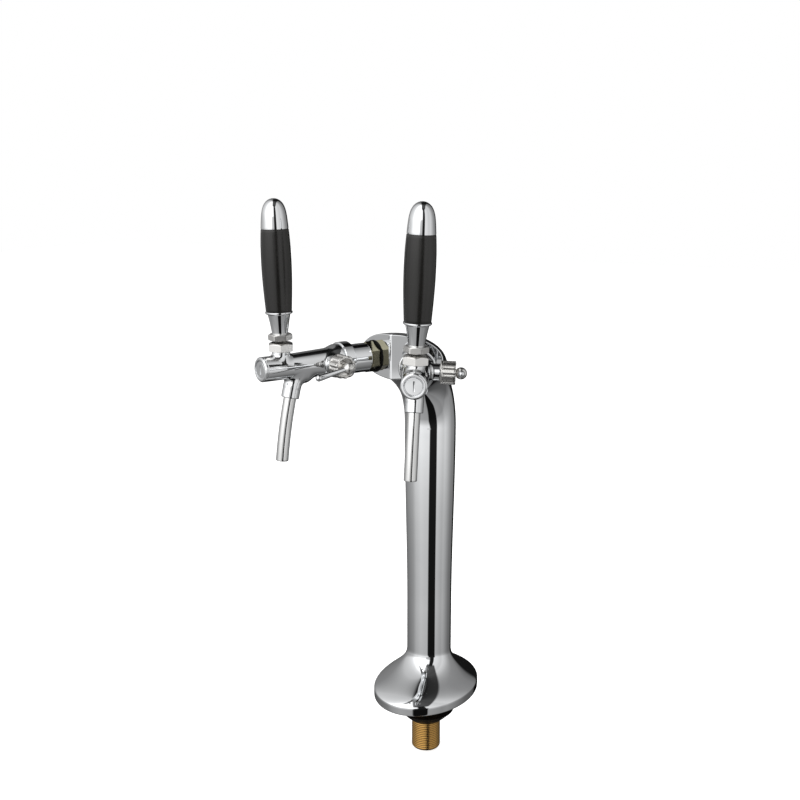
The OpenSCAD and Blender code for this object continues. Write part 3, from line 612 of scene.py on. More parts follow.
def thread_rule(graph: Graph, shape: Sock, sizes: dict[str, Sock]) -> Sock:
    """Raise a helical ridge on a turned mesh that stands along Z.

    Args:
        graph: the tree.
        shape: the mesh.
        sizes: Pitch, Depth, Crest, Low and High in millimetres.
    Returns:
        The threaded mesh.
    """
    spot = graph.node("GeometryNodeInputPosition")
    parts = graph.tree.nodes.new("ShaderNodeSeparateXYZ")
    graph.tree.links.new(spot.socket, parts.inputs[0])
    x, y, z = (Sock(graph, parts.outputs[i]) for i in range(3))
    radius = (x * x + y * y).call("SQRT")
    turn = y.call("ARCTAN2", x) / math.tau
    wave = (z / sizes["Pitch"] - turn).call("FRACT")
    groove = (wave - 0.5).call("ABSOLUTE") * 2.0
    groove = ((groove - 0.12) / 0.76).clamp()
    within = ((z - sizes["Low"]) / 1.5).clamp() * ((sizes["High"] - z) / 1.5).clamp()
    outside = ((radius - (sizes["Crest"] - 0.05)) / 0.04).clamp()
    scale = 1.0 - sizes["Depth"] * groove * within * outside / radius
    moved = graph.node("ShaderNodeCombineXYZ", {}, {0: x * scale, 1: y * scale, 2: z})
    return graph.node("GeometryNodeSetPosition", {}, {"Geometry": shape, "Position": moved})


def ring_of_cuts(
    graph: Graph, shape: Sock, sizes: dict[str, Sock], sides: int, outward: bool
) -> Sock:
    """Take a ring of round cutters out of a turned mesh that stands along Z.

    Args:
        graph: the tree.
        shape: the mesh.
        sizes: Count, Radius, Rim, Depth and Height.
        sides: sides of each cutter.
        outward: whether the cutters lie along the radius instead of along Z.
    Returns:
        The cut mesh.
    """
    cutter = graph.node(
        "GeometryNodeMeshCylinder", {},
        {"Vertices": sides, "Radius": sizes["Radius"], "Depth": sizes["Depth"] * 2.0})
    ring = graph.node(
        "GeometryNodeMeshCircle", {}, {"Vertices": sizes["Count"], "Radius": sizes["Rim"]})
    places = {"Points": ring, "Instance": cutter}
    if outward:
        spot = graph.node("GeometryNodeInputPosition")
        places["Rotation"] = graph.node(
            "FunctionNodeAlignRotationToVector", {"axis": "Z"}, {"Vector": spot})
    cuts = graph.node("GeometryNodeInstanceOnPoints", {}, places)
    lift = graph.node("ShaderNodeCombineXYZ", {}, {0: 0.0, 1: 0.0, 2: sizes["Height"]})
    cuts = graph.node(
        "GeometryNodeTranslateInstances", {}, {"Instances": cuts, "Translation": lift})
    cuts = graph.node("GeometryNodeRealizeInstances", {}, {0: cuts})
    return graph.node(
        "GeometryNodeMeshBoolean", {"operation": "DIFFERENCE", "solver": "EXACT"},
        {"Mesh 1": shape, "Mesh 2": cuts})


def drill_rule(graph: Graph, shape: Sock, sizes: dict[str, Sock]) -> Sock:
    """Drill a ring of holes into a turned mesh that stands along Z."""
    return ring_of_cuts(graph, shape, sizes, sides=24, outward=True)


def slot_rule(graph: Graph, shape: Sock, sizes: dict[str, Sock]) -> Sock:
    """Cut upright slots round a nut that stands along Z."""
    return ring_of_cuts(graph, shape, sizes, sides=32, outward=False)


def scatter_rule(graph: Graph, shape: Sock, sizes: dict[str, Sock]) -> Sock:
    """Copy a screw that stands at the origin to places on an oval.

    Args:
        graph: the tree.
        shape: the screw.
        sizes: Count, HalfWidth, HalfLength and FirstAngle.
    Returns:
        The copies.
    """
    index = graph.node("GeometryNodeInputIndex")
    line = graph.node("GeometryNodePoints", {}, {"Count": sizes["Count"]})
    half = index / 2.0
    odd = (half - half.call("FLOOR")) * 2.0
    upper = half.call("FLOOR")
    angle = sizes["FirstAngle"] + odd * (math.pi - 2.0 * sizes["FirstAngle"])
    flip = 1.0 - 2.0 * upper
    spot = graph.node(
        "ShaderNodeCombineXYZ",
        {},
        {
            0: angle.call("COSINE") * sizes["HalfWidth"],
            1: angle.call("SINE") * sizes["HalfLength"] * flip,
            2: 0.0,
        },
    )
    line = graph.node("GeometryNodeSetPosition", {}, {"Geometry": line, "Position": spot})
    return graph.node("GeometryNodeInstanceOnPoints", {}, {"Points": line, "Instance": shape})


# Tower


@dataclass
class Tower:
    """The swept column with its oval foot and two slanted faces."""

    foot_half: Point = (56.6, 72.7)
    rim: Point = (3.0, 12.9)
    rim_round: float = 2.0
    bell: tuple[float, float, float] = (42.5, 1.6, 3.0)
    radii: Point = (25.5, 28.6)
    column_y: float = 6.5
    widen_from: float = 110.0
    tap_z: float = 407.4
    head_rise: float = 3.0
    neck_r: float = 90.0
    hood: tuple[float, float, float, float] = (51.75, 23.6, 1.89, 0.28)
    face_angle: float = math.radians(25.8)
    ridge_y: float = 85.2
    ridge_round: float = 4.5
    edge_round: float = 1.1
    pocket_inset: float = 5.0
    plate_top: float = 9.0

    @property
    def neck_z(self) -> float:
        """Height at which the neck begins."""
        return self.tap_z + self.head_rise - self.neck_r

    def share(self, z: float) -> float:
        """How far the foot still spreads at a height.

        Args:
            z: the height.
        Returns:
            1 at the rim, 0 at the bell's top.
        """
        height, shoulder, sweep = self.bell
        t = (z - self.rim[1]) / height
        return 1.0 if t <= 0 else 0.0 if t >= 1 else (1.0 - t ** shoulder) ** sweep

    def ring(
        self, angles: Array, y: float, z: float, tilt: float, half: Point, power: float
    ) -> Array:
        """One closed section of the skin.

        Args:
            angles: places round the section.
            y: its centre's y.
            z: its centre's z.
            tilt: how far it leans forward.
            half: half its width and half its depth.
            power: 2 for an ellipse, lower for a pointed and higher for a squarer one.
        Returns:
            The points.
        """
        out = np.empty((len(angles), 3))
        for i, a in enumerate(angles):
            v = half[1] * signed_power(math.sin(a), power)
            out[i] = (
                half[0] * signed_power(math.cos(a), power),
                y + v * math.cos(tilt),
                z + v * math.sin(tilt),
            )
        return out

    def foot_ring(self, angles: Array, z: float) -> Array:
        """Section of the foot at a height.

        Args:
            angles: places round the section.
            z: the height.
        Returns:
            The points.
        """
        g, r = self.share(z), self.radii[0]
        half = (r + (self.foot_half[0] - r) * g, r + (self.foot_half[1] - r) * g)
        return self.ring(angles, self.column_y * (1.0 - g), z, 0.0, half, 2.0)

    def column_ring(self, angles: Array, z: float) -> Array:
        """Section of the column at a height.

        Args:
            angles: places round the section.
            z: the height.
        Returns:
            The points.
        """
        low, high = self.radii
        r = low + (high - low) * smooth((z - self.widen_from) / (self.neck_z - self.widen_from))
        return self.ring(angles, self.column_y, z, 0.0, (r, r), 2.0)

    def neck_point(self, k: float, angle: float) -> Array:
        """Point of the neck's skin.

        Args:
            k: share of the quarter bend.
            angle: place round the section.
        Returns:
            The point.
        """
        half_w, half_h, square, start = self.hood
        r = self.radii[1]
        e = smooth((k - start) / (1.0 - start))
        half = (r + (half_w - r) * e, r + (half_h - r) * k)
        turn = math.pi / 2.0 * k
        centre = (
            self.column_y - self.neck_r + self.neck_r * math.cos(turn),
            self.neck_z + self.neck_r * math.sin(turn),
        )
        power = 2.0 + (square - 2.0) * k
        return self.ring(np.array([angle]), centre[0], centre[1], turn, half, power)[0]

    def face_y(self, x: float) -> float:
        """Where the two faces and their rounded ridge stand.

        Args:
            x: distance from the middle plane.
        Returns:
            The faces' y.
        """
        run = self.ridge_round * math.sin(self.face_angle)
        if abs(x) >= run:
            return -self.ridge_y + abs(x) * math.tan(self.face_angle)
        centre = -self.ridge_y + self.ridge_round / math.cos(self.face_angle)
        return centre - math.sqrt(self.ridge_round ** 2 - x * x)

    def cut_share(self, angle: float, back: float = 0.0) -> float:
        """Share of the neck at which one line of the skin meets the faces.

        Args:
            angle: the line's place round the section.
            back: how far before the faces to stop.
        Returns:
            The share of the bend.
        """
        low, high = 0.5, 1.08
        for _ in range(44):
            k = (low + high) / 2.0
            x, y, _z = self.neck_point(k, angle)
            if y - back > self.face_y(x):
                low = k
            else:
                high = k
        return low

    def angle_at(self, x: float, upper: bool) -> float:
        """Section angle whose line meets the faces at one x.

        Args:
            x: distance from the middle plane.
            upper: whether the line runs over the top.
        Returns:
            The angle.
        """
        low, high = 0.02, math.pi - 0.02
        for _ in range(40):
            mid = (low + high) / 2.0
            angle = mid if upper else -mid
            if self.neck_point(self.cut_share(angle), angle)[0] > x:
                low = mid
            else:
                high = mid
        return mid if upper else math.tau - mid

    def build(self) -> bpy.types.Object:
        """Make the whole skin.

        Returns:
            The tower's piece.
        """
        run = self.ridge_round * math.sin(self.face_angle)
        ridge_x = [run * math.sin(math.pi / 2 * t) for t in np.linspace(-1, 1, 13)]
        top = [self.angle_at(x, True) for x in reversed(ridge_x)]
        low = [self.angle_at(x, False) for x in ridge_x]
        flank = 38
        right = np.linspace(low[-1] - math.tau, top[0], flank + 2)[1:-1]
        left = np.linspace(top[-1], low[0], flank + 2)[1:-1]
        angles = np.array([*right, *top, *left, *low])
        n_right, n_top, n_left = len(right), len(top), len(left)

        mesher = Mesher()
        rings: list[Array] = []
        rim_low, rim_high = self.rim
        half = self.foot_half
        inner = (half[0] - self.pocket_inset, half[1] - self.pocket_inset)
        # The foot's inside and its rounded rim
        for inset, z in ((0.0, self.plate_top + 0.3), (0.0, rim_low + 0.4), (-0.4, rim_low)):
            rings.append(self.ring(angles, 0.0, z, 0.0, (inner[0] - inset, inner[1] - inset), 2.0))
        for t in np.linspace(0.0, 1.0, 8):
            bend = math.pi / 2.0 * t
            pull = self.rim_round * (1.0 - math.sin(bend))
            rings.append(self.ring(
                angles, 0.0, rim_low + self.rim_round * (1.0 - math.cos(bend)), 0.0,
                (half[0] - pull, half[1] - pull), 2.0))
        for z in np.linspace(rim_low + self.rim_round, rim_high, 5)[1:]:
            rings.append(self.ring(angles, 0.0, z, 0.0, half, 2.0))
        # The bell and the column
        bell_top = rim_high + self.bell[0]
        for t in np.linspace(0.0, 1.0, 46)[1:]:
            rings.append(self.foot_ring(angles, rim_high + self.bell[0] * t ** 1.25))
        for z in np.linspace(bell_top, self.neck_z, 60)[1:]:
            rings.append(self.column_ring(angles, z))
        # The neck up to the faces, and the faces' rounded edge
        cuts = np.array([self.cut_share(a) for a in angles])
        backs = np.array([self.cut_share(a, self.edge_round) for a in angles])
        for t in np.linspace(0.0, 1.0, 74)[1:]:
            rings.append(np.array([self.neck_point(k * t, a) for k, a in zip(backs, angles)]))
        edge = np.array([self.neck_point(k, a) for k, a in zip(cuts, angles)])
        inside = self.face_loop(edge)
        start = rings[-1]
        for t in np.linspace(0.0, 1.0, 6)[1:]:
            rings.append(start * (1 - t) ** 2 + edge * 2 * t * (1 - t) + inside * t * t)
        support = self.face_loop(edge, self.edge_round * 1.25)
        rings.append(support)
        numbered = mesher.rows(rings)
        self.close_faces(mesher, numbered[-1], n_right, n_top, n_left)
        mesher.faces.append(tuple(reversed(numbered[0])))
        return mesher.finish("tower_shell", Matrix.Identity(4), sharp=50.0)

    def face_loop(self, edge: Array, reach: float | None = None) -> Array:
        """The cut's outline moved inwards along the faces.

        Args:
            edge: the outline.
            reach: how far; the edge's rounding when left out.
        Returns:
            The moved outline.
        """
        reach = reach or self.edge_round
        ahead = np.roll(edge, -1, axis=0) - np.roll(edge, 1, axis=0)
        flat = ahead[:, [0, 2]]
        flat /= np.linalg.norm(flat, axis=1)[:, None]
        moved = edge.copy()
        moved[:, 0] -= flat[:, 1] * reach
        moved[:, 2] += flat[:, 0] * reach
        run = self.ridge_round * math.sin(self.face_angle)
        ridge = np.abs(edge[:, 0]) <= run + 1e-6
        moved[ridge, 0] = edge[ridge, 0]
        moved[:, 1] = [self.face_y(x) for x in moved[:, 0]]
        return moved

    @staticmethod
    def close_faces(mesher: Mesher, loop: list[int], n_right: int, n_top: int, n_left: int) -> None:
        """Fill the two flat faces and the ridge between them.

        Args:
            mesher: the skin so far.
            loop: the outline's point numbers.
            n_right: points on the right flank.
            n_top: points over the ridge.
            n_left: points on the left flank.
        """
        right = loop[:n_right]
        top = loop[n_right:n_right + n_top]
        left = loop[n_right + n_top:n_right + n_top + n_left]
        low = loop[n_right + n_top + n_left:]
        mesher.faces.append((low[-1], *right, top[0]))
        mesher.faces.append((top[-1], *left, low[0]))
        under = list(reversed(low))
        for i in range(n_top - 1):
            mesher.faces.append((top[i], top[i + 1], under[i + 1], under[i]))


@dataclass
class Mounting:
    """What clamps the tower to the counter."""

    tower: Tower
    shank_r: float = 16.6
    bore_r: float = 13.0
    drop: float = 69.0
    collar: Point = (20.0, 8.0)
    pitch: float = 2.309
    thread_depth: float = 0.55
    washer: tuple[float, float, float] = (32.2, -27.5, 7.0)
    nut: tuple[float, float, float] = (25.2, -34.0, 6.5)
    tip_r: float = 18.2
    screw_half: Point = (46.1, 62.2)

    @staticmethod
    def dress(
        rule: Rule, mesher: Mesher, piece: str, wardrobe: Wardrobe, finish: str, node: str
    ) -> None:
        """Run a rule on a blank and dress the piece for the node it stands for."""
        made = rule.work(mesher, piece, Matrix.Identity(4), wardrobe.materials[finish])
        wardrobe.dress(made, finish, "tower", node)

    def shank(self, wardrobe: Wardrobe) -> None:
        """Turn the shank and cut its thread.

        Args:
            wardrobe: the finishes.
        """
        r, low, top, chamfer, steps = self.shank_r, -self.drop, self.tower.plate_top, 1.3, 300
        profile = rounded([
            (self.bore_r + 0.5, low), (r - chamfer, low, 0.3), (r, low + chamfer, 0.2)])
        body = [(r, z) for z in np.linspace(low + 1.7, top - 0.1, steps)]
        collar_r, collar_h = self.collar
        end = rounded([
            (r, top - 0.05), (collar_r, top, 0.4), (collar_r, top + collar_h, 0.8),
            (self.bore_r, top + collar_h, 0.5), (self.bore_r, low + 0.5, 0.3),
            (self.bore_r + 0.5, low),
        ])
        mesher = Mesher()
        mesher.lathe([*profile[:-1], *body, *end], 72)
        rule = Rule(
            "helical_thread",
            {"Pitch": self.pitch, "Depth": self.thread_depth, "Crest": r, "Low": low + chamfer,
             "High": top},
            thread_rule,
        )
        self.dress(rule, mesher, "threaded_shank", wardrobe, "machined_brass", "mounting_shank")

    def clamp(self, wardrobe: Wardrobe) -> None:
        """Turn the rubber washer and the nylon nut.

        Args:
            wardrobe: the finishes.
        """
        r, z, h = self.washer
        hole = self.shank_r + 0.3
        piece = turned("clamp_ring", rounded([
            (hole, z + h / 2), (hole, z, 0.4), (self.nut[0], z, 0.3), (r, z + h - 0.5, 0.3),
            (r, z + h, 0.2), (hole, z + h, 0.4), (hole, z + h / 2),
        ]), Matrix.Identity(4))
        wardrobe.dress(piece, "black_rubber", "tower", "clamp_washer")
        r, z, h = self.nut
        hole = self.shank_r + 0.05
        mesher = Mesher()
        mesher.lathe(rounded([
            (hole, z + h / 2), (hole, z, 0.3), (self.tip_r, z, 0.3), (r - 0.1, z + h - 0.3, 0.2),
            (r - 0.1, z + h, 0.1), (hole, z + h, 0.3), (hole, z + h / 2),
        ]), 96)
        rule = Rule(
            "hook_slots",
            {"Count": 4, "Radius": 3.4, "Rim": r + 1.2, "Depth": h, "Height": z + h / 2},
            slot_rule,
        )
        self.dress(rule, mesher, "clamp_ring_nut", wardrobe, "black_nylon", "clamp_nut")

    def screws(self, wardrobe: Wardrobe) -> None:
        """Set the countersunk screws in the base plate.

        Args:
            wardrobe: the finishes.
        """
        mesher = Mesher()
        low = 3.2
        mesher.lathe(rounded([
            (0.0, low + 2.4), (1.5, low + 2.4, 0.2), (1.6, low, 0.2), (4.75, low, 0.3),
            (4.6, low + 0.5, 0.2), (2.45, low + 2.25, 0.3), (2.45, low + 10.4, 0.5),
            (0.0, low + 10.8),
        ]), 32)
        rule = Rule(
            "screws_on_an_oval",
            {"Count": 4, "HalfWidth": self.screw_half[0], "HalfLength": self.screw_half[1],
             "FirstAngle": math.radians(40.0)},
            scatter_rule,
        )
        self.dress(rule, mesher, "plate_screws", wardrobe, "zinc_plate", "base_screws")

    def build(self, wardrobe: Wardrobe) -> None:
        """Make every piece of the mounting.

        Args:
            wardrobe: the finishes.
        """
        self.shank(wardrobe)
        self.clamp(wardrobe)
        self.screws(wardrobe)


# Taps


def soft_min(first: Array, second: Array, radius: float) -> Array:
    """Smallest of two distances, blended over a fillet radius."""
    h = np.clip(0.5 + 0.5 * (second - first) / radius, 0.0, 1.0)
    return second + (first - second) * h - radius * h * (1.0 - h)


def soft_max(first: Array, second: Array, radius: float) -> Array:
    """Largest of two distances, its edge rounded by a radius."""
    return -soft_min(-first, -second, radius)


class Way(Enum):
    """Directions in which the valve body's bars and bores run."""

    BACK = "along the barrel"
    UP = "towards the handle"
    OUT = "towards the compensator"


@dataclass(frozen=True)
class Bar:
    """A round bar or bore from low to high along its way."""

    way: Way
    radius: float
    low: float
    high: float
    edge: float = 0.3


@dataclass
class CastBody:
    """The cast valve body, as a distance field with fillets where its arms meet."""

    voxel: float = 0.5
    low: tuple[float, float, float] = (-19.5, -23.0, -36.5)
    high: tuple[float, float, float] = (31.5, 73.5, 22.5)
    barrel: Point = (-21.2, 66.0)
    back_end: float = 72.0
    arm: Bar = Bar(Way.UP, 9.0, 0.0, 16.3, 0.7)
    boss: Bar = Bar(Way.OUT, 8.5, 0.0, 23.0, 0.5)
    boss_y: float = 52.0
    fillets: tuple[float, float, float] = (3.4, 3.6, 5.0)
    spout_bend: float = 64.5 / math.radians(7.0)
    root: Point = (9.0, -32.0)
    root_slope: float = math.radians(13.0)
    socket_l: float = 12.0
    socket_r: float = 9.0
    elbow_r: float = 14.0
    profile: tuple[Point, ...] = (
        (-21.2, 12.5), (8.0, 12.5), (50.0, 14.3), (51.75, 14.44), (53.5, 14.82), (55.25, 15.34),
        (57.0, 15.95), (58.75, 16.55), (60.5, 17.08), (62.25, 17.46), (64.0, 17.6), (66.0, 17.6))
    threads: tuple[Bar, ...] = (
        Bar(Way.UP, 8.6, 0.0, 20.8), Bar(Way.OUT, 7.0, 0.0, 29.8),
        Bar(Way.BACK, 15.0, 60.0, 72.0), Bar(Way.BACK, 16.4, 69.2, 72.0))
    bores: tuple[Bar, ...] = (
        Bar(Way.BACK, 8.55, -30.0, -13.9), Bar(Way.BACK, 7.0, -15.0, 26.0),
        Bar(Way.BACK, 5.5, 20.0, 34.0), Bar(Way.UP, 4.2, 0.0, 30.0),
        Bar(Way.UP, 6.2, 9.85, 30.0), Bar(Way.OUT, 5.6, 8.0, 40.0))

    @property
    def spout_centre(self) -> Point:
        """Centre of the spout's gentle curve, as (y, z)."""
        return (
            self.root[0] + self.spout_bend * math.cos(self.root_slope),
            self.root[1] - self.spout_bend * math.sin(self.root_slope),
        )

    @property
    def socket_slope(self) -> float:
        """Slope at the top of the spout's socket."""
        return self.root_slope + self.socket_l / self.spout_bend

    @property
    def elbow_centre(self) -> Point:
        """Centre of the elbow.

        Returns:
            Its y and z.
        """
        slope = self.socket_slope
        y, z = self.spout_centre
        reach = self.elbow_r - self.spout_bend
        return y + reach * math.cos(slope), z - reach * math.sin(slope)

    @staticmethod
    def arc(p: Array, centre: Point, bend: float, start: float, end: float, radius: float) -> Array:
        """Distance to a round bar bent in the YZ plane.

        Args:
            p: points, one a row.
            centre: y and z of the bend's centre.
            bend: the bend's radius.
            start: first angle of the bend.
            end: last angle of the bend.
            radius: the bar's radius.
        Returns:
            The distances.
        """
        y, z = p[:, 1] - centre[0], p[:, 2] - centre[1]
        angle = np.clip(np.arctan2(z, y), start, end)
        return np.sqrt(
            p[:, 0] ** 2 + (y - bend * np.cos(angle)) ** 2 + (z - bend * np.sin(angle)) ** 2
        ) - radius

    def distance(self, p: Array) -> Array:
        """Signed distance from points to the body's surface.

        Args:
            p: points in the tap's frame, one a row.
        Returns:
            Negative inside the metal.
        """
        x, y, z = p[:, 0], p[:, 1], p[:, 2]
        ways = {
            Way.BACK: (np.hypot(x, z), y),
            Way.UP: (np.hypot(x, y), z),
            Way.OUT: (np.hypot(y - self.boss_y, z), x),
        }

        def bar(part: Bar) -> Array:
            """Distance to a round bar with rounded ends.

            Args:
                part: the bar.
            Returns:
                The distances.
            """
            across, along = ways[part.way]
            ends = np.maximum(part.low - along, along - part.high)
            return soft_max(across - part.radius, ends, part.edge)

        around = ways[Way.BACK][0]
        front, rear = self.barrel
        stations, radii = zip(*self.profile)
        body = soft_max(
            (around - np.interp(y, stations, radii)) * 0.97, np.maximum(front - y, y - rear), 0.8)
        centre = self.spout_centre
        start, end = math.pi - self.socket_slope, math.pi - self.root_slope
        mouth = (np.arctan2(z - centre[1], y - centre[0]) - end) * self.spout_bend
        elbow = self.arc(p, self.elbow_centre, self.elbow_r, math.pi / 2, start, self.socket_r)
        socket = soft_max(
            self.arc(p, centre, self.spout_bend, start, end + 0.02, self.socket_r),
            np.where(y < 60.0, mouth, 1.0), 0.9)
        branch = soft_min(elbow, socket, 0.6)
        for limb, fillet in zip((bar(self.arm), bar(self.boss), branch), self.fillets):
            body = soft_min(body, limb, fillet)
        for thread in self.threads:
            body = np.minimum(body, bar(thread))
        chamber = np.clip((y - 38.0) / 8.0, 0.0, 1.0) * 3.0 + 8.0
        hollows = [bar(bore) for bore in self.bores]
        hollows += [
            np.maximum(around - chamber, np.maximum(29.0 - y, y - 80.0)),
            self.arc(p, self.elbow_centre, self.elbow_r, math.pi / 2, start + 0.1, 5.0),
            self.arc(p, centre, self.spout_bend, start, end + 0.1, 6.4),
        ]
        for hollow in hollows:
            body = np.maximum(body, -hollow)
        return body

    def surface(self) -> tuple[Array, Array]:
        """Points and quads of the surface, drawn onto the exact field.

        Returns:
            Points in the tap's frame and quads.
        """
        axes = [np.arange(a, b, self.voxel) for a, b in zip(self.low, self.high)]
        grid = np.stack(np.meshgrid(*axes, indexing="ij"), -1)
        values = np.empty(grid.shape[:3], np.float32)
        for i in range(grid.shape[0]):
            values[i] = self.distance(grid[i].reshape(-1, 3)).reshape(grid.shape[1:3])
        volume = openvdb.FloatGrid(3.0)
        volume.copyFromArray(values)
        points, quads = volume.convertToQuads(0.0)
        points = points.astype(float) * self.voxel + np.array(self.low)
        for _ in range(3):
            gap = self.distance(points)
            slope = self.gradient(points)
            points = points - slope * np.clip(gap, -0.2, 0.2)[:, None]
        return points, quads

    def gradient(self, points: Array) -> Array:
        """Unit direction in which the distance grows.

        Args:
            points: points, one a row.
        Returns:
            The directions.
        """
        step = 0.02
        slope = np.stack([
            self.distance(points + step * unit) - self.distance(points - step * unit)
            for unit in np.eye(3)
        ], axis=1)
        return slope / np.maximum(np.linalg.norm(slope, axis=1), 1e-9)[:, None]


@dataclass
class Nut:
    """A hexagon nut along +Z with turned chamfers."""

    flats: float
    height: float
    bore: float
    top: float
    foot: float
    inset: float = 0.3
    turn: float = 0.0
    soft: float = 0.16

    def build(self, name: str, matrix: Matrix) -> bpy.types.Object:
        """Make the nut.

        Args:
            name: the piece's name.
            matrix: its place in world millimetres.
        Returns:
            The nut.
        """
        offsets = np.radians([0, 9, 17, 23, 26.2, 28, 29.1, 29.7, 30])
        sector = np.unique(np.r_[-offsets, offsets])[:-1]
        angles = np.concatenate([sector + i * math.pi / 3 for i in range(6)]) + self.turn
        local = np.concatenate([sector] * 6)
        flat = self.flats / 2.0
        hexagon = flat / np.cos(local)
        corner = flat / math.cos(math.pi / 6)
        face = flat - self.inset
        steps = [0.0, 0.2, 0.45, 0.7, 0.9, 1.0, 1.12]
        heights = [self.foot * t for t in steps]
        heights += list(np.linspace(self.foot * 1.12, self.height - self.top * 1.12, 5)[1:-1])
        heights += [self.height - self.top * t for t in reversed(steps)]
        rings, stations = [], []

        def ring(radius: Array | float, z: float, station: float) -> None:
            """Keep one ring.

            Args:
                radius: one radius, or one for each angle.
                z: the ring's height.
                station: the ring pattern's distance.
            """
            full = np.broadcast_to(radius, angles.shape)
            height = np.full(len(angles), z)
            rings.append(np.c_[full * np.cos(angles), full * np.sin(angles), height])
            stations.append(station)

        ring(self.bore, 0.4, 0.0)
        ring(self.bore + 0.4, 0.0, 0.4)
        ring(face - 0.35, 0.0, face)
        for z in heights:
            low = face + (corner - face) * min(1.0, z / self.foot) if self.foot else corner
            high = face + (corner - face) * min(1.0, (self.height - z) / self.top)
            cone = min(low, high) if z < self.height / 2 else high
            radius = soft_min(hexagon, np.full_like(hexagon, cone), self.soft)
            lift = 0.12 if z == 0.0 else -0.12 if z == self.height else 0.0
            ring(radius, z + lift, 20.0)
        ring(face - 0.35, self.height, face + 30.0)
        ring(self.bore + 0.4, self.height, self.bore + 30.4)
        ring(self.bore, self.height - 0.4, 30.0)
        mesher = Mesher()
        numbered = mesher.rows(rings, stations)
        mesher.bridge(numbered[-1], numbered[0])
        return mesher.finish(name, matrix, sharp=32.0)


@dataclass
class Grip:
    """The black sleeve of a handle, widest above its middle."""

    length: float = 80.0
    foot_r: float = 12.8
    swell: float = 2.0
    waist: float = 0.6
    draw_in: float = 1.3
    bore_r: float = 4.05
    spigot_r: float = 5.05
    spigot_z: float = 69.0

    def profile(self) -> list[Point]:
        """Outline from the bore's foot over the outside and back.

        Returns:
            (radius, height) in order.
        """
        outline = [(self.bore_r, 0.0), (self.foot_r - 0.3, 0.0)]
        for t in np.linspace(0.012, 0.99, 44):
            if t < self.waist:
                r = self.foot_r + self.swell * math.sin(math.pi / 2 * t / self.waist)
            else:
                past = (t - self.waist) / (1 - self.waist)
                r = self.foot_r + self.swell - self.draw_in * past ** 2
            outline.append((r, self.length * t))
        return outline + [
            (13.1, self.length - 0.1), (self.spigot_r, self.length),
            (self.spigot_r, self.spigot_z), (self.bore_r, self.spigot_z), (self.bore_r, 0.0)]


@dataclass
class Dome:
    """The chrome cap on top of a grip, with the spigot that enters it."""

    wall_r: float = 13.5
    taper: float = 2.2
    height: float = 29.09
    bow: float = 4.6
    spigot_r: float = 5.0
    spigot_l: float = 10.0

    def profile(self) -> list[Point]:
        """Outline from the spigot's end over the crown.

        Returns:
            (radius, height) in order.
        """
        outline = [
            (0.0, -self.spigot_l), (self.spigot_r, -self.spigot_l), (self.spigot_r, 0.02),
            (13.1, 0.02), (13.4, 0.2)]
        for u in np.linspace(0.03, 1.0, 60):
            t = math.sin(math.pi / 2 * u)
            crown = math.sqrt(max(0.0, 1.0 - t**self.bow))
            outline.append(((self.wall_r - self.taper * t) * crown, self.height * t))
        return outline


@dataclass
class FlutedCap:
    """The compensator's cap with rounded flutes round its rim."""

    flutes: int = 10
    outer: float = 11.6
    depth: float = 1.15
    length: float = 15.0
    count: int = 240

    def mesher(self) -> Mesher:
        """Make the cap's skin.

        Returns:
            Its points and faces.
        """
        outer = self.outer
        angles = np.arange(self.count) * (math.tau / self.count)
        wave = np.cos(self.flutes * angles + math.pi)
        groove = self.depth * np.clip((wave + 0.25) / 1.25, 0.0, 1.0) ** 0.8
        sections = [(7.05, 4.0, 0.0), (7.05, 0.5, 0.0), (7.5, 0.0, 0.0), (outer - 0.5, 0.0, 0.0)]
        sections += [(outer - max(0.0, 0.35 - z * 0.5), z, 0.0) for z in (0.25, 0.6, 1.0, 1.4)]
        sections += [(outer, 1.5 + 1.6 * t, smooth(t)) for t in np.linspace(0.0, 1.0, 7)]
        sections += [(outer, z, 1.0) for z in np.linspace(3.6, 14.0, 8)]
        sections += [
            (outer - 0.12, 14.45, 1.0), (outer - 0.45, 14.8, 1.0), (outer - 0.9, self.length, 1.0)]
        sections += [(r, z, 0.0) for r, z in (
            (9.2, self.length), (8.7, 14.9), (8.45, 14.5), (8.4, 12.2), (8.0, 12.0), (3.3, 12.0),
            (3.05, 11.8), (3.05, 7.6), (7.05, 7.4), (7.05, 4.0))]
        rings: list[Array] = []
        for radius, z, share in sections:
            full = radius - groove * share
            height = np.full(self.count, z)
            rings.append(np.c_[full * np.cos(angles), full * np.sin(angles), height])
        mesher = Mesher()
        mesher.rows(rings, [i * 0.5 for i in range(len(rings))])
        return mesher


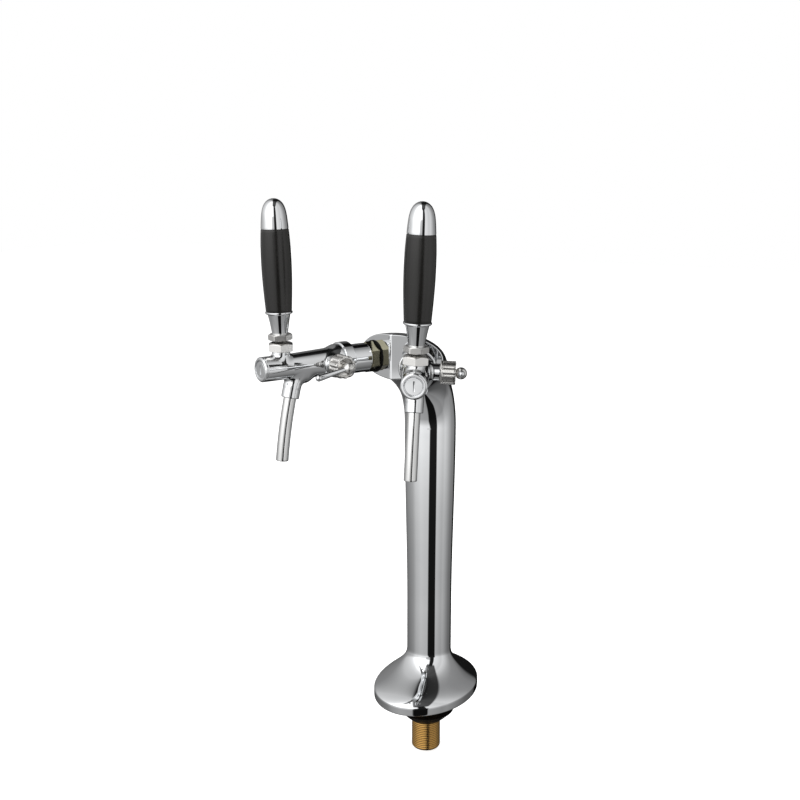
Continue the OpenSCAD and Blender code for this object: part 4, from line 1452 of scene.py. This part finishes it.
@dataclass
class Tap:
    """One tap with its handle, compensator, spout and face fittings."""

    side: Side
    wardrobe: Wardrobe
    tower: Tower
    casting: CastBody
    cast: tuple[Array, Array]
    reach: float = 110.8
    from_ridge: float = 29.74
    right_roll: float = math.radians(2.4)
    lean: float = math.radians(1.8)
    pivot_h: float = 14.0
    plug_y: float = -24.2
    coupling_y: float = 66.0
    face_nut_y: float = 99.4
    washer_y: float = 110.0
    jam_z: float = 27.6
    ferrule_h: float = 22.4
    ball_x: float = 43.0
    grip: Grip = field(default_factory=Grip)
    dome: Dome = field(default_factory=Dome)
    cap: FlutedCap = field(default_factory=FlutedCap)
    pitches: dict[Side, float] = field(
        default_factory=lambda: {Side.LEFT: math.radians(-10.0), Side.RIGHT: math.radians(10.0)})

    @property
    def frame(self) -> Matrix:
        """From the tap's own frame to the world, in millimetres.

        Returns:
            The matrix.
        """
        s, a = self.side.value, self.tower.face_angle
        on_face = Matrix.Translation((
            s * self.from_ridge * math.cos(a),
            -self.tower.ridge_y + self.from_ridge * math.sin(a),
            self.tower.tap_z,
        ))
        roll = self.right_roll if self.side is Side.RIGHT else 0.0
        return (
            on_face @ Matrix.Rotation(s * a, 4, "Z") @ Matrix.Translation((0, -self.reach, 0))
            @ Matrix.Rotation(roll, 4, "Y")
        )

    def along(self, y: float, turn: float = 0.0) -> Matrix:
        """Place what stands along +Z on the tap's axis, pointing back."""
        return (
            self.frame @ Matrix.Translation((0, y, 0)) @ Matrix.Rotation(-math.pi / 2, 4, "X")
            @ Matrix.Rotation(turn, 4, "Z")
        )

    def across(self, x: float) -> Matrix:
        """Place what stands along +Z on the compensator's axis, pointing out."""
        return (
            self.frame @ Matrix.Translation((x, self.casting.boss_y, 0))
            @ Matrix.Rotation(math.pi / 2, 4, "Y")
        )

    def leaning(self, z: float) -> Matrix:
        """Place what stands along +Z on the leaning handle."""
        up = Matrix.Translation((0, 0, self.pivot_h))
        return (
            self.frame @ up @ Matrix.Rotation(self.lean, 4, "X") @ up.inverted()
            @ Matrix.Translation((0, 0, z))
        )

    def name(self, piece: str) -> str:
        """This side's name for a piece or node."""
        return f"{self.side.prefix}_{piece}"

    def wear(self, piece: bpy.types.Object, finish: str, body: str, *nodes: str) -> None:
        """Dress a piece on this side."""
        carrier = "tower" if body == "tower" else self.name(body)
        self.wardrobe.dress(piece, finish, carrier, *(self.name(node) for node in nodes))

    def lathe(
        self, piece: str, profile: Sequence[Point], matrix: Matrix, finish: str, body: str,
        node: str, count: int = 96,
    ) -> None:
        """Turn a piece and dress it."""
        self.wear(turned(self.name(piece), profile, matrix, count), finish, body, node)

    def casting_piece(self) -> None:
        """Place the cast body."""
        points, quads = self.cast
        name = self.name("cast_body")
        mesh = bpy.data.meshes.new(name)
        mesh.from_pydata(points.tolist(), [], quads.tolist())
        form = bmesh.new()
        form.from_mesh(mesh)
        bmesh.ops.recalc_face_normals(form, faces=form.faces)
        form.to_mesh(mesh)
        form.free()
        self.wear(place(mesh, name, self.frame, 50.0), "cast_chrome", "tower", "valve_body")

    def plug(self) -> None:
        """Turn the front plug and cut its coin slot."""
        mesher = Mesher()
        mesher.lathe(rounded([
            (0.0, 0.55), (8.1, 0.55, 0.25), (8.5, 1.3, 0.15), (9.0, 1.3, 0.15), (9.3, 0.0, 0.3),
            (11.2, 0.0, 0.5), (12.5, 1.4, 0.5), (12.5, 3.0, 0.1), (8.4, 3.0, 0.1), (8.4, 10.0, 0.4),
            (0.0, 10.0),
        ]), 96)
        piece = mesher.finish(self.name("front_plug_face"), self.along(self.plug_y))
        cutter = bmesh.new()
        bmesh.ops.create_cube(cutter, size=1.0)
        bmesh.ops.scale(cutter, vec=(1.9, 2.4, 10.2), verts=cutter.verts)
        bmesh.ops.bevel(
            cutter, geom=list(cutter.edges), offset=0.5, segments=2, affect="EDGES", profile=0.5)
        mesh = bpy.data.meshes.new("slot_cutter")
        cutter.to_mesh(mesh)
        cutter.free()
        tool = place(mesh, "slot_cutter", self.frame @ Matrix.Translation((0, self.plug_y, 0)))
        cut = piece.modifiers.new("slot", "BOOLEAN")
        cut.operation, cut.solver, cut.object = "DIFFERENCE", "EXACT", tool
        state = bpy.context.evaluated_depsgraph_get()
        data = bpy.data.meshes.new_from_object(piece.evaluated_get(state))
        piece.modifiers.clear()
        piece.data = data
        data.set_sharp_from_angle(angle=math.radians(35.0))
        bpy.data.objects.remove(tool)
        self.wear(piece, "mirror_chrome", "tower", "front_plug")

    def tail(self) -> None:
        """Make the tail tube, its coupling nut and the hexagon nut on the face."""
        joint = self.casting.back_end
        length = self.face_nut_y - joint
        self.lathe("tail", rounded([
            (10.0, 1.0), (10.0, 0.0, 0.3), (16.4, 0.0, 0.3), (16.4, 6.0, 0.3), (15.2, 6.4, 0.3),
            (15.2, length, 0.7), (8.55, length, 0.3), (8.55, 16.0, 0.2), (10.0, 15.8, 0.2),
            (10.0, 1.0),
        ]), self.along(joint), "mirror_chrome", "tower", "tail_tube")
        mesher = Mesher()
        mesher.lathe(rounded([
            (15.05, 1.5), (15.05, 0.0, 0.3), (18.0, 0.0, 0.4), (19.0, 1.0, 0.4), (19.0, 11.0, 0.4),
            (18.0, 12.0, 0.4), (16.45, 12.0, 0.3), (16.45, 3.0, 0.1), (15.05, 3.0, 0.1),
            (15.05, 1.5),
        ]), 128)
        rule = Rule(
            "spanner_holes",
            {"Count": 6, "Radius": 1.55, "Rim": 19.4, "Depth": 1.9, "Height": 7.44}, drill_rule)
        piece = rule.work(
            mesher, self.name("coupling_ring"), self.along(self.coupling_y, math.radians(50.0)),
            self.wardrobe.materials["mirror_chrome"])
        self.wear(piece, "mirror_chrome", "tower", "coupling_nut")
        nut = Nut(flats=28.4, height=10.6, bore=8.55, top=1.2, foot=0.5)
        self.wear(
            nut.build(self.name("face_hex"), self.along(self.face_nut_y)), "olive_brass", "tower",
            "face_nut")
        self.lathe("face_ring", rounded([
            (8.6, 0.4), (8.6, 0.0, 0.1), (17.0, 0.0, 0.2), (17.0, 0.8, 0.2), (8.6, 0.8, 0.1),
            (8.6, 0.4),
        ]), self.along(self.washer_y), "black_rubber", "tower", "face_washer")

    def spout(self) -> None:
        """Bend the spout tube."""
        casting = self.casting
        centre, bend = casting.spout_centre, casting.spout_bend
        slopes = np.linspace(casting.socket_slope, math.radians(6.0), 44)
        count = 56
        angles = np.arange(count) * (math.tau / count)

        def ring(slope: float, radius: float, shift: float = 0.0) -> Array:
            """One ring of the tube.

            Args:
                slope: the tube's slope at the ring.
                radius: the ring's radius.
                shift: how far it is moved along the tube.
            Returns:
                The points.
            """
            s = slope - shift / bend
            radial = bend + radius * np.cos(angles)
            return np.c_[
                radius * np.sin(angles), centre[0] - radial * math.cos(s),
                centre[1] + radial * math.sin(s)]

        outer, inner, end = 6.35, 5.35, slopes[-1]
        rings = [ring(s, outer) for s in slopes[:-1]]
        middle, half_wall = (outer + inner) / 2, (outer - inner) / 2
        for bow in np.linspace(0.0, math.pi, 6):
            rings.append(ring(
                end, middle + half_wall * math.cos(bow), half_wall * (math.sin(bow) - 1.0)))
        rings += [ring(s, inner) for s in reversed(slopes[:-1])]
        mesher = Mesher()
        walked = [float(i) * 1.5 for i in range(len(rings))]
        numbered = mesher.rows(rings, walked)
        mesher.bridge(numbered[-1], numbered[0])
        self.wear(
            mesher.finish(self.name("spout_pipe"), self.frame), "polished_stainless", "tower",
            "spout_tube")

    def handle(self) -> None:
        """Make everything that stands above the valve."""
        bonnet = Nut(flats=23.3, height=8.9, bore=7.0, top=1.9, foot=0.8, inset=1.5)
        on_arm = self.frame @ Matrix.Translation((0, 0, self.casting.arm.high))
        self.wear(
            bonnet.build(self.name("bonnet"), on_arm), "satin_nickel", "tower", "bonnet_nut")
        jam = Nut(
            flats=21.0, height=6.4, bore=4.05, top=1.3, foot=0.7, turn=math.radians(30.0), soft=0.5)
        ferrule_z = self.jam_z + jam.height
        grip_z = ferrule_z + self.ferrule_h
        dome_z = grip_z + self.grip.length
        self.wear(
            jam.build(self.name("jam"), self.leaning(self.jam_z)), "satin_nickel", "handle",
            "jam_nut")
        self.lathe("ferrule_cone", rounded([
            (4.05, 0.4), (4.4, 0.0, 0.2), (7.8, 0.0, 0.4), (8.3, 3.6), (9.6, 11.7),
            (11.2, 19.5, 0.4), (12.4, 19.7, 0.3), (13.5, 20.4, 0.7), (13.5, 22.0, 0.7),
            (12.3, self.ferrule_h, 0.3), (4.05, self.ferrule_h, 0.2), (4.05, 0.4),
        ]), self.leaning(ferrule_z), "mirror_chrome", "handle", "ferrule")
        self.lathe(
            "grip_sleeve", self.grip.profile(), self.leaning(grip_z), "satin_black_grip", "handle",
            "grip", 128)
        self.lathe(
            "dome", self.dome.profile(), self.leaning(dome_z), "mirror_chrome", "handle",
            "dome_cap", 128)

    def compensator(self) -> None:
        """Make the fluted cap, the ball stem and the lever."""
        pitch = self.pitches[self.side]
        cap_place = self.across(self.casting.boss.high)
        self.wear(
            self.cap.mesher().finish(self.name("fluted_cap"), cap_place, 42.0), "fluted_nickel",
            "tower", "side_cap")
        self.knob(pitch)
        place_lever = (
            self.frame @ Matrix.Translation((self.ball_x, self.casting.boss_y, 0))
            @ Matrix.Rotation(-pitch, 4, "X") @ Matrix.Rotation(math.pi / 2, 4, "X")
        )
        thin, tip_r, taper_from, tip = 2.1, 3.3, 7.4, 35.3
        profile = [(0.0, 2.1), (1.9, 2.1), (thin, 2.3), (thin, 6.2), (2.2, taper_from)]
        profile += [
            (thin + 0.4 * smooth(t) + 0.8 * t, taper_from + 27.9 * t)
            for t in np.linspace(0.06, 1.0, 18)]
        profile += [
            (tip_r * math.cos(a), tip + tip_r * math.sin(a))
            for a in np.linspace(0.08, math.pi / 2, 14)]
        self.lathe(
            "lever_rod", profile, place_lever, "mirror_chrome", "flow_lever", "flow_lever", 48)

    def knob(self, pitch: float) -> None:
        """Turn the stem with its ball; the crank pin stands on its inner end.

        Args:
            pitch: the lever's angle.
        """
        stem_r, ball_r = 3.0, 6.0
        profile = rounded([
            (0.0, -32.5), (5.3, -32.5, 0.2), (5.3, -29.0, 0.2), (stem_r, -28.9, 0.1),
            (stem_r, -5.6, 0.0)])
        start = math.atan2(-5.2, stem_r)
        profile = [*profile[:-1], *(
            (ball_r * math.cos(a), ball_r * math.sin(a))
            for a in np.linspace(start, math.pi / 2, 34))]
        mesher = Mesher()
        mesher.lathe([(stem_r if 2.9 < r < 3.3 and z < -5 else r, z) for r, z in profile], 64)
        turn = Matrix.Translation((0, self.casting.boss_y, 0)) @ Matrix.Rotation(-pitch, 4, "X")
        outward = Matrix.Rotation(math.pi / 2, 4, "Y")
        pin = Mesher()
        pin.lathe(rounded([(0.0, 0.0), (1.5, 0.0, 0.3), (1.5, 6.5, 0.1), (0.0, 6.5)]), 32)
        pin_place = turn @ Matrix.Translation((5.0, 0, -3.0)) @ outward
        stem_place = turn @ Matrix.Translation((self.ball_x, 0, 0)) @ outward
        for part, matrix in ((pin, pin_place), (mesher, stem_place)):
            spin, shift = np.array(matrix.to_3x3()).T, np.array(matrix.translation)
            part.points = [np.concatenate(part.points) @ spin + shift]
        offset = mesher.count
        mesher.points += pin.points
        mesher.stations += pin.stations
        mesher.faces += [tuple(i + offset for i in face) for face in pin.faces]
        self.wear(
            mesher.finish(self.name("ball_knob"), self.frame), "satin_nickel", "flow_lever",
            "flow_stem")

    def carried(self) -> None:
        """Dress the CAD nodes that keep their own shape on this side."""
        for node, finish in (
            ("tap_nipple", "machined_brass"), ("inner_nut", "machined_brass"),
            ("ball_seat", "ivory_plastic"), ("dust_seal", "black_rubber"),
            ("lever_stem", "polished_stainless"),
            ("valve_piston", "polished_stainless"), ("piston_seal", "black_rubber"),
            ("throttle_cone", "ivory_plastic"),
        ):
            self.wardrobe.dress_node(self.name(node), finish)

    def build(self) -> None:
        """Make every piece of this tap."""
        self.casting_piece()
        self.plug()
        self.tail()
        self.spout()
        self.handle()
        self.compensator()
        self.carried()


# Studio


WALL_LIGHT = (
    (0.0, 0.12), (0.10, 0.26), (0.20, 0.40), (0.25, 0.50), (0.30, 0.76), (0.38, 0.92),
    (0.46, 0.84), (0.55, 0.84), (0.61, 0.76), (0.665, 0.63), (0.695, 0.69), (0.73, 0.57),
    (0.765, 0.42), (0.81, 0.27), (0.86, 0.22), (0.90, 0.08), (1.0, 0.08))
"""Light of the walls round the object, a full turn from 0 to 1."""

RISING_LIGHT = (
    (0.0, 0.28), (0.345, 0.40), (0.360, 0.53), (0.385, 0.68), (0.41, 0.92), (0.425, 1.0),
    (0.52, 1.0), (1.0, 0.95))
"""Light from straight below at 0 to straight above at 1."""


@dataclass
class Studio:
    """Floor, light and camera."""

    azimuth: float = math.radians(28.74)
    elevation: float = math.radians(12.37)
    target: tuple[float, float, float] = (-0.02960, -0.00990, 0.34776)
    distance: float = 1.22185
    lens: float = 49.47
    floor_z: float = -0.0694

    def camera(self) -> None:
        """Set the camera where the photograph was taken."""
        back = Vector((
            math.sin(self.azimuth) * math.cos(self.elevation),
            -math.cos(self.azimuth) * math.cos(self.elevation),
            math.sin(self.elevation),
        ))
        data = bpy.data.cameras.new("camera")
        data.lens, data.sensor_width, data.clip_start = self.lens, 36.0, 0.05
        rig = bpy.data.objects.new("camera", data)
        rig.location = Vector(self.target) + back * self.distance
        rig.rotation_euler = back.to_track_quat("Z", "Y").to_euler()
        bpy.context.scene.collection.objects.link(rig)
        bpy.context.scene.camera = rig

    def floor(self) -> None:
        """Lay a white floor that keeps the object's shadow."""
        mesh = bpy.data.meshes.new("floor")
        half = 6.0
        corners = [
            (x * half, y * half, self.floor_z) for x, y in ((-1, -1), (1, -1), (1, 1), (-1, 1))]
        mesh.from_pydata(corners, [], [(0, 1, 2, 3)])
        floor = bpy.data.objects.new("floor", mesh)
        bpy.context.scene.collection.objects.link(floor)
        floor.visible_glossy = False
        material = bpy.data.materials.new("white_floor")
        material.use_nodes = True
        graph = Graph(material.node_tree)
        seen = graph.node("ShaderNodeLightPath", output="Is Camera Ray")
        paint = graph.node("ShaderNodeBsdfDiffuse", {}, {"Color": (0.8, 0.8, 0.8, 1.0)})
        white = (1.0, 1.0, 1.0, 1.0)
        glow = graph.node("ShaderNodeEmission", {}, {"Color": white, "Strength": 0.62})
        both = graph.node("ShaderNodeAddShader", {}, {0: paint, 1: glow})
        shade = graph.node("ShaderNodeMixShader", {}, {0: seen, 1: paint, 2: both})
        graph.node("ShaderNodeOutputMaterial", {}, {"Surface": shade})
        mesh.materials.append(material)

    def world(self) -> None:
        """Light the object and give the metal a studio to reflect.

        The camera sees plain white. Metal sees soft white walls that are
        brighter on the left, a dark opening in front with a dim strip beside
        its upper part, a dark band overhead and a dark corner behind on the
        right.
        """
        world = bpy.data.worlds.new("studio")
        bpy.context.scene.world = world
        world.use_nodes = True
        graph = Graph(world.node_tree)
        aim = graph.node("ShaderNodeTexCoord", output="Generated")
        right = (math.cos(self.azimuth), math.sin(self.azimuth), 0.0)
        toward = (math.sin(self.azimuth), -math.cos(self.azimuth), 0.0)

        def dot(axis: tuple[float, float, float]) -> Sock:
            """Share of the view direction along an axis."""
            return graph.node(
                "ShaderNodeVectorMath", {"operation": "DOT_PRODUCT"}, {0: aim, 1: axis}, "Value")

        bearing = dot(right).call("ARCTAN2", dot(toward)) * (180.0 / math.pi)
        height = dot((0.0, 0.0, 1.0)).call("ARCSINE") * (180.0 / math.pi)
        sideways = dot(right)

        def ramp(place: Sock, *stops: Point) -> Sock:
            """Level read from a list of (place, level) stops."""
            color = graph.node("ShaderNodeValToRGB", {"stops": stops}, {0: place}, "Color")
            return graph.node("ShaderNodeRGBToBW", {}, {0: color})

        walls = ramp(bearing / 360.0 + 0.5, *WALL_LIGHT)
        rise = ramp(height / 180.0 + 0.5, *RISING_LIGHT)
        left_glow = bearing.band(-150.0, 10.0, 20.0) * ((height + 6.0) / 14.0).clamp()
        upper = ((height + 11.6) / 0.9).clamp()
        left_edge = -5.5 - ((-14.0 - height) / 10.0).clamp() * 5.5 + upper * 7.5
        right_edge = 30.0 - upper * 5.0
        opening = ((bearing - left_edge) / 4.5).clamp() * ((right_edge - bearing) / 2.5).clamp()
        opening = opening * height.band(-95.0, 60.0, 12.0)
        dusk = upper * bearing.band(-16.0, 8.0, 3.0) * height.band(-14.0, 10.0, 2.0)
        ceiling = sideways.band(-0.13, 0.42, 0.05) * ((height - 40.0) / 10.0).clamp()
        corner = bearing.band(138.0, 176.0, 5.0) * height.band(-95.0, 60.0, 12.0)
        light = walls * rise * (1.0 + left_glow * 0.75)
        light = light * (1.0 - opening * 0.985) * (1.0 - dusk * 0.50) * (1.0 - ceiling * 0.90)
        light = light * (1.0 - corner * 0.9) * 1.1
        ray = graph.tree.nodes.new("ShaderNodeLightPath")
        camera = Sock(graph, ray.outputs["Is Camera Ray"])
        clear = Sock(graph, ray.outputs["Is Transmission Ray"])
        glossy = Sock(graph, ray.outputs["Is Glossy Ray"])
        soft = 0.72
        level = glossy * light + (1.0 - glossy) * soft
        seen = (camera + clear).clamp()
        level = seen + (1.0 - seen) * level
        back = graph.node("ShaderNodeBackground", {}, {"Color": (1, 1, 1, 1), "Strength": level})
        graph.node("ShaderNodeOutputWorld", {}, {"Surface": back})

    def lamps(self) -> None:
        """Hang three large soft lamps."""
        for name, spot, size, power in (
            ("key", (-1.3, -1.2, 1.7), 1.0, 17.0),
            ("fill", (1.7, -0.6, 0.9), 0.9, 8.0),
            ("rim", (0.5, 1.7, 1.3), 0.9, 10.0),
        ):
            data = bpy.data.lights.new(name, "AREA")
            data.energy, data.size = power, size
            lamp = bpy.data.objects.new(name, data)
            lamp.location = spot
            aim = Vector(spot) - Vector((0, 0, 0.25))
            lamp.rotation_euler = aim.to_track_quat("Z", "Y").to_euler()
            lamp.visible_glossy = False
            bpy.context.scene.collection.objects.link(lamp)

    def build(self) -> None:
        """Make the whole studio."""
        bpy.context.scene.view_settings.view_transform = "Standard"
        self.camera()
        self.floor()
        self.world()
        self.lamps()


def carried_nodes(wardrobe: Wardrobe) -> None:
    """Dress the tower's own CAD nodes that keep their shape.

    Args:
        wardrobe: the finishes.
    """
    for node, finish in (
        ("base_plate", "zinc_plate"), ("counter_gasket", "black_rubber"),
        ("left_beer_line", "hose_plastic"), ("right_beer_line", "hose_plastic"),
        ("cooling_loop", "polished_stainless"),
    ):
        wardrobe.dress_node(node, finish)


def main() -> None:
    """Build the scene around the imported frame."""
    logging.basicConfig(level=logging.INFO, format="%(name)s %(message)s")
    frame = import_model()
    Studio().build()
    wardrobe = Wardrobe(frame)
    carried_nodes(wardrobe)
    tower = Tower()
    wardrobe.dress(tower.build(), "mirror_chrome", "tower", "tower_body")
    Mounting(tower).build(wardrobe)
    casting = CastBody()
    cast = casting.surface()
    for side in Side:
        Tap(side, wardrobe, tower, casting, cast).build()


if __name__ == "__main__":
    main()
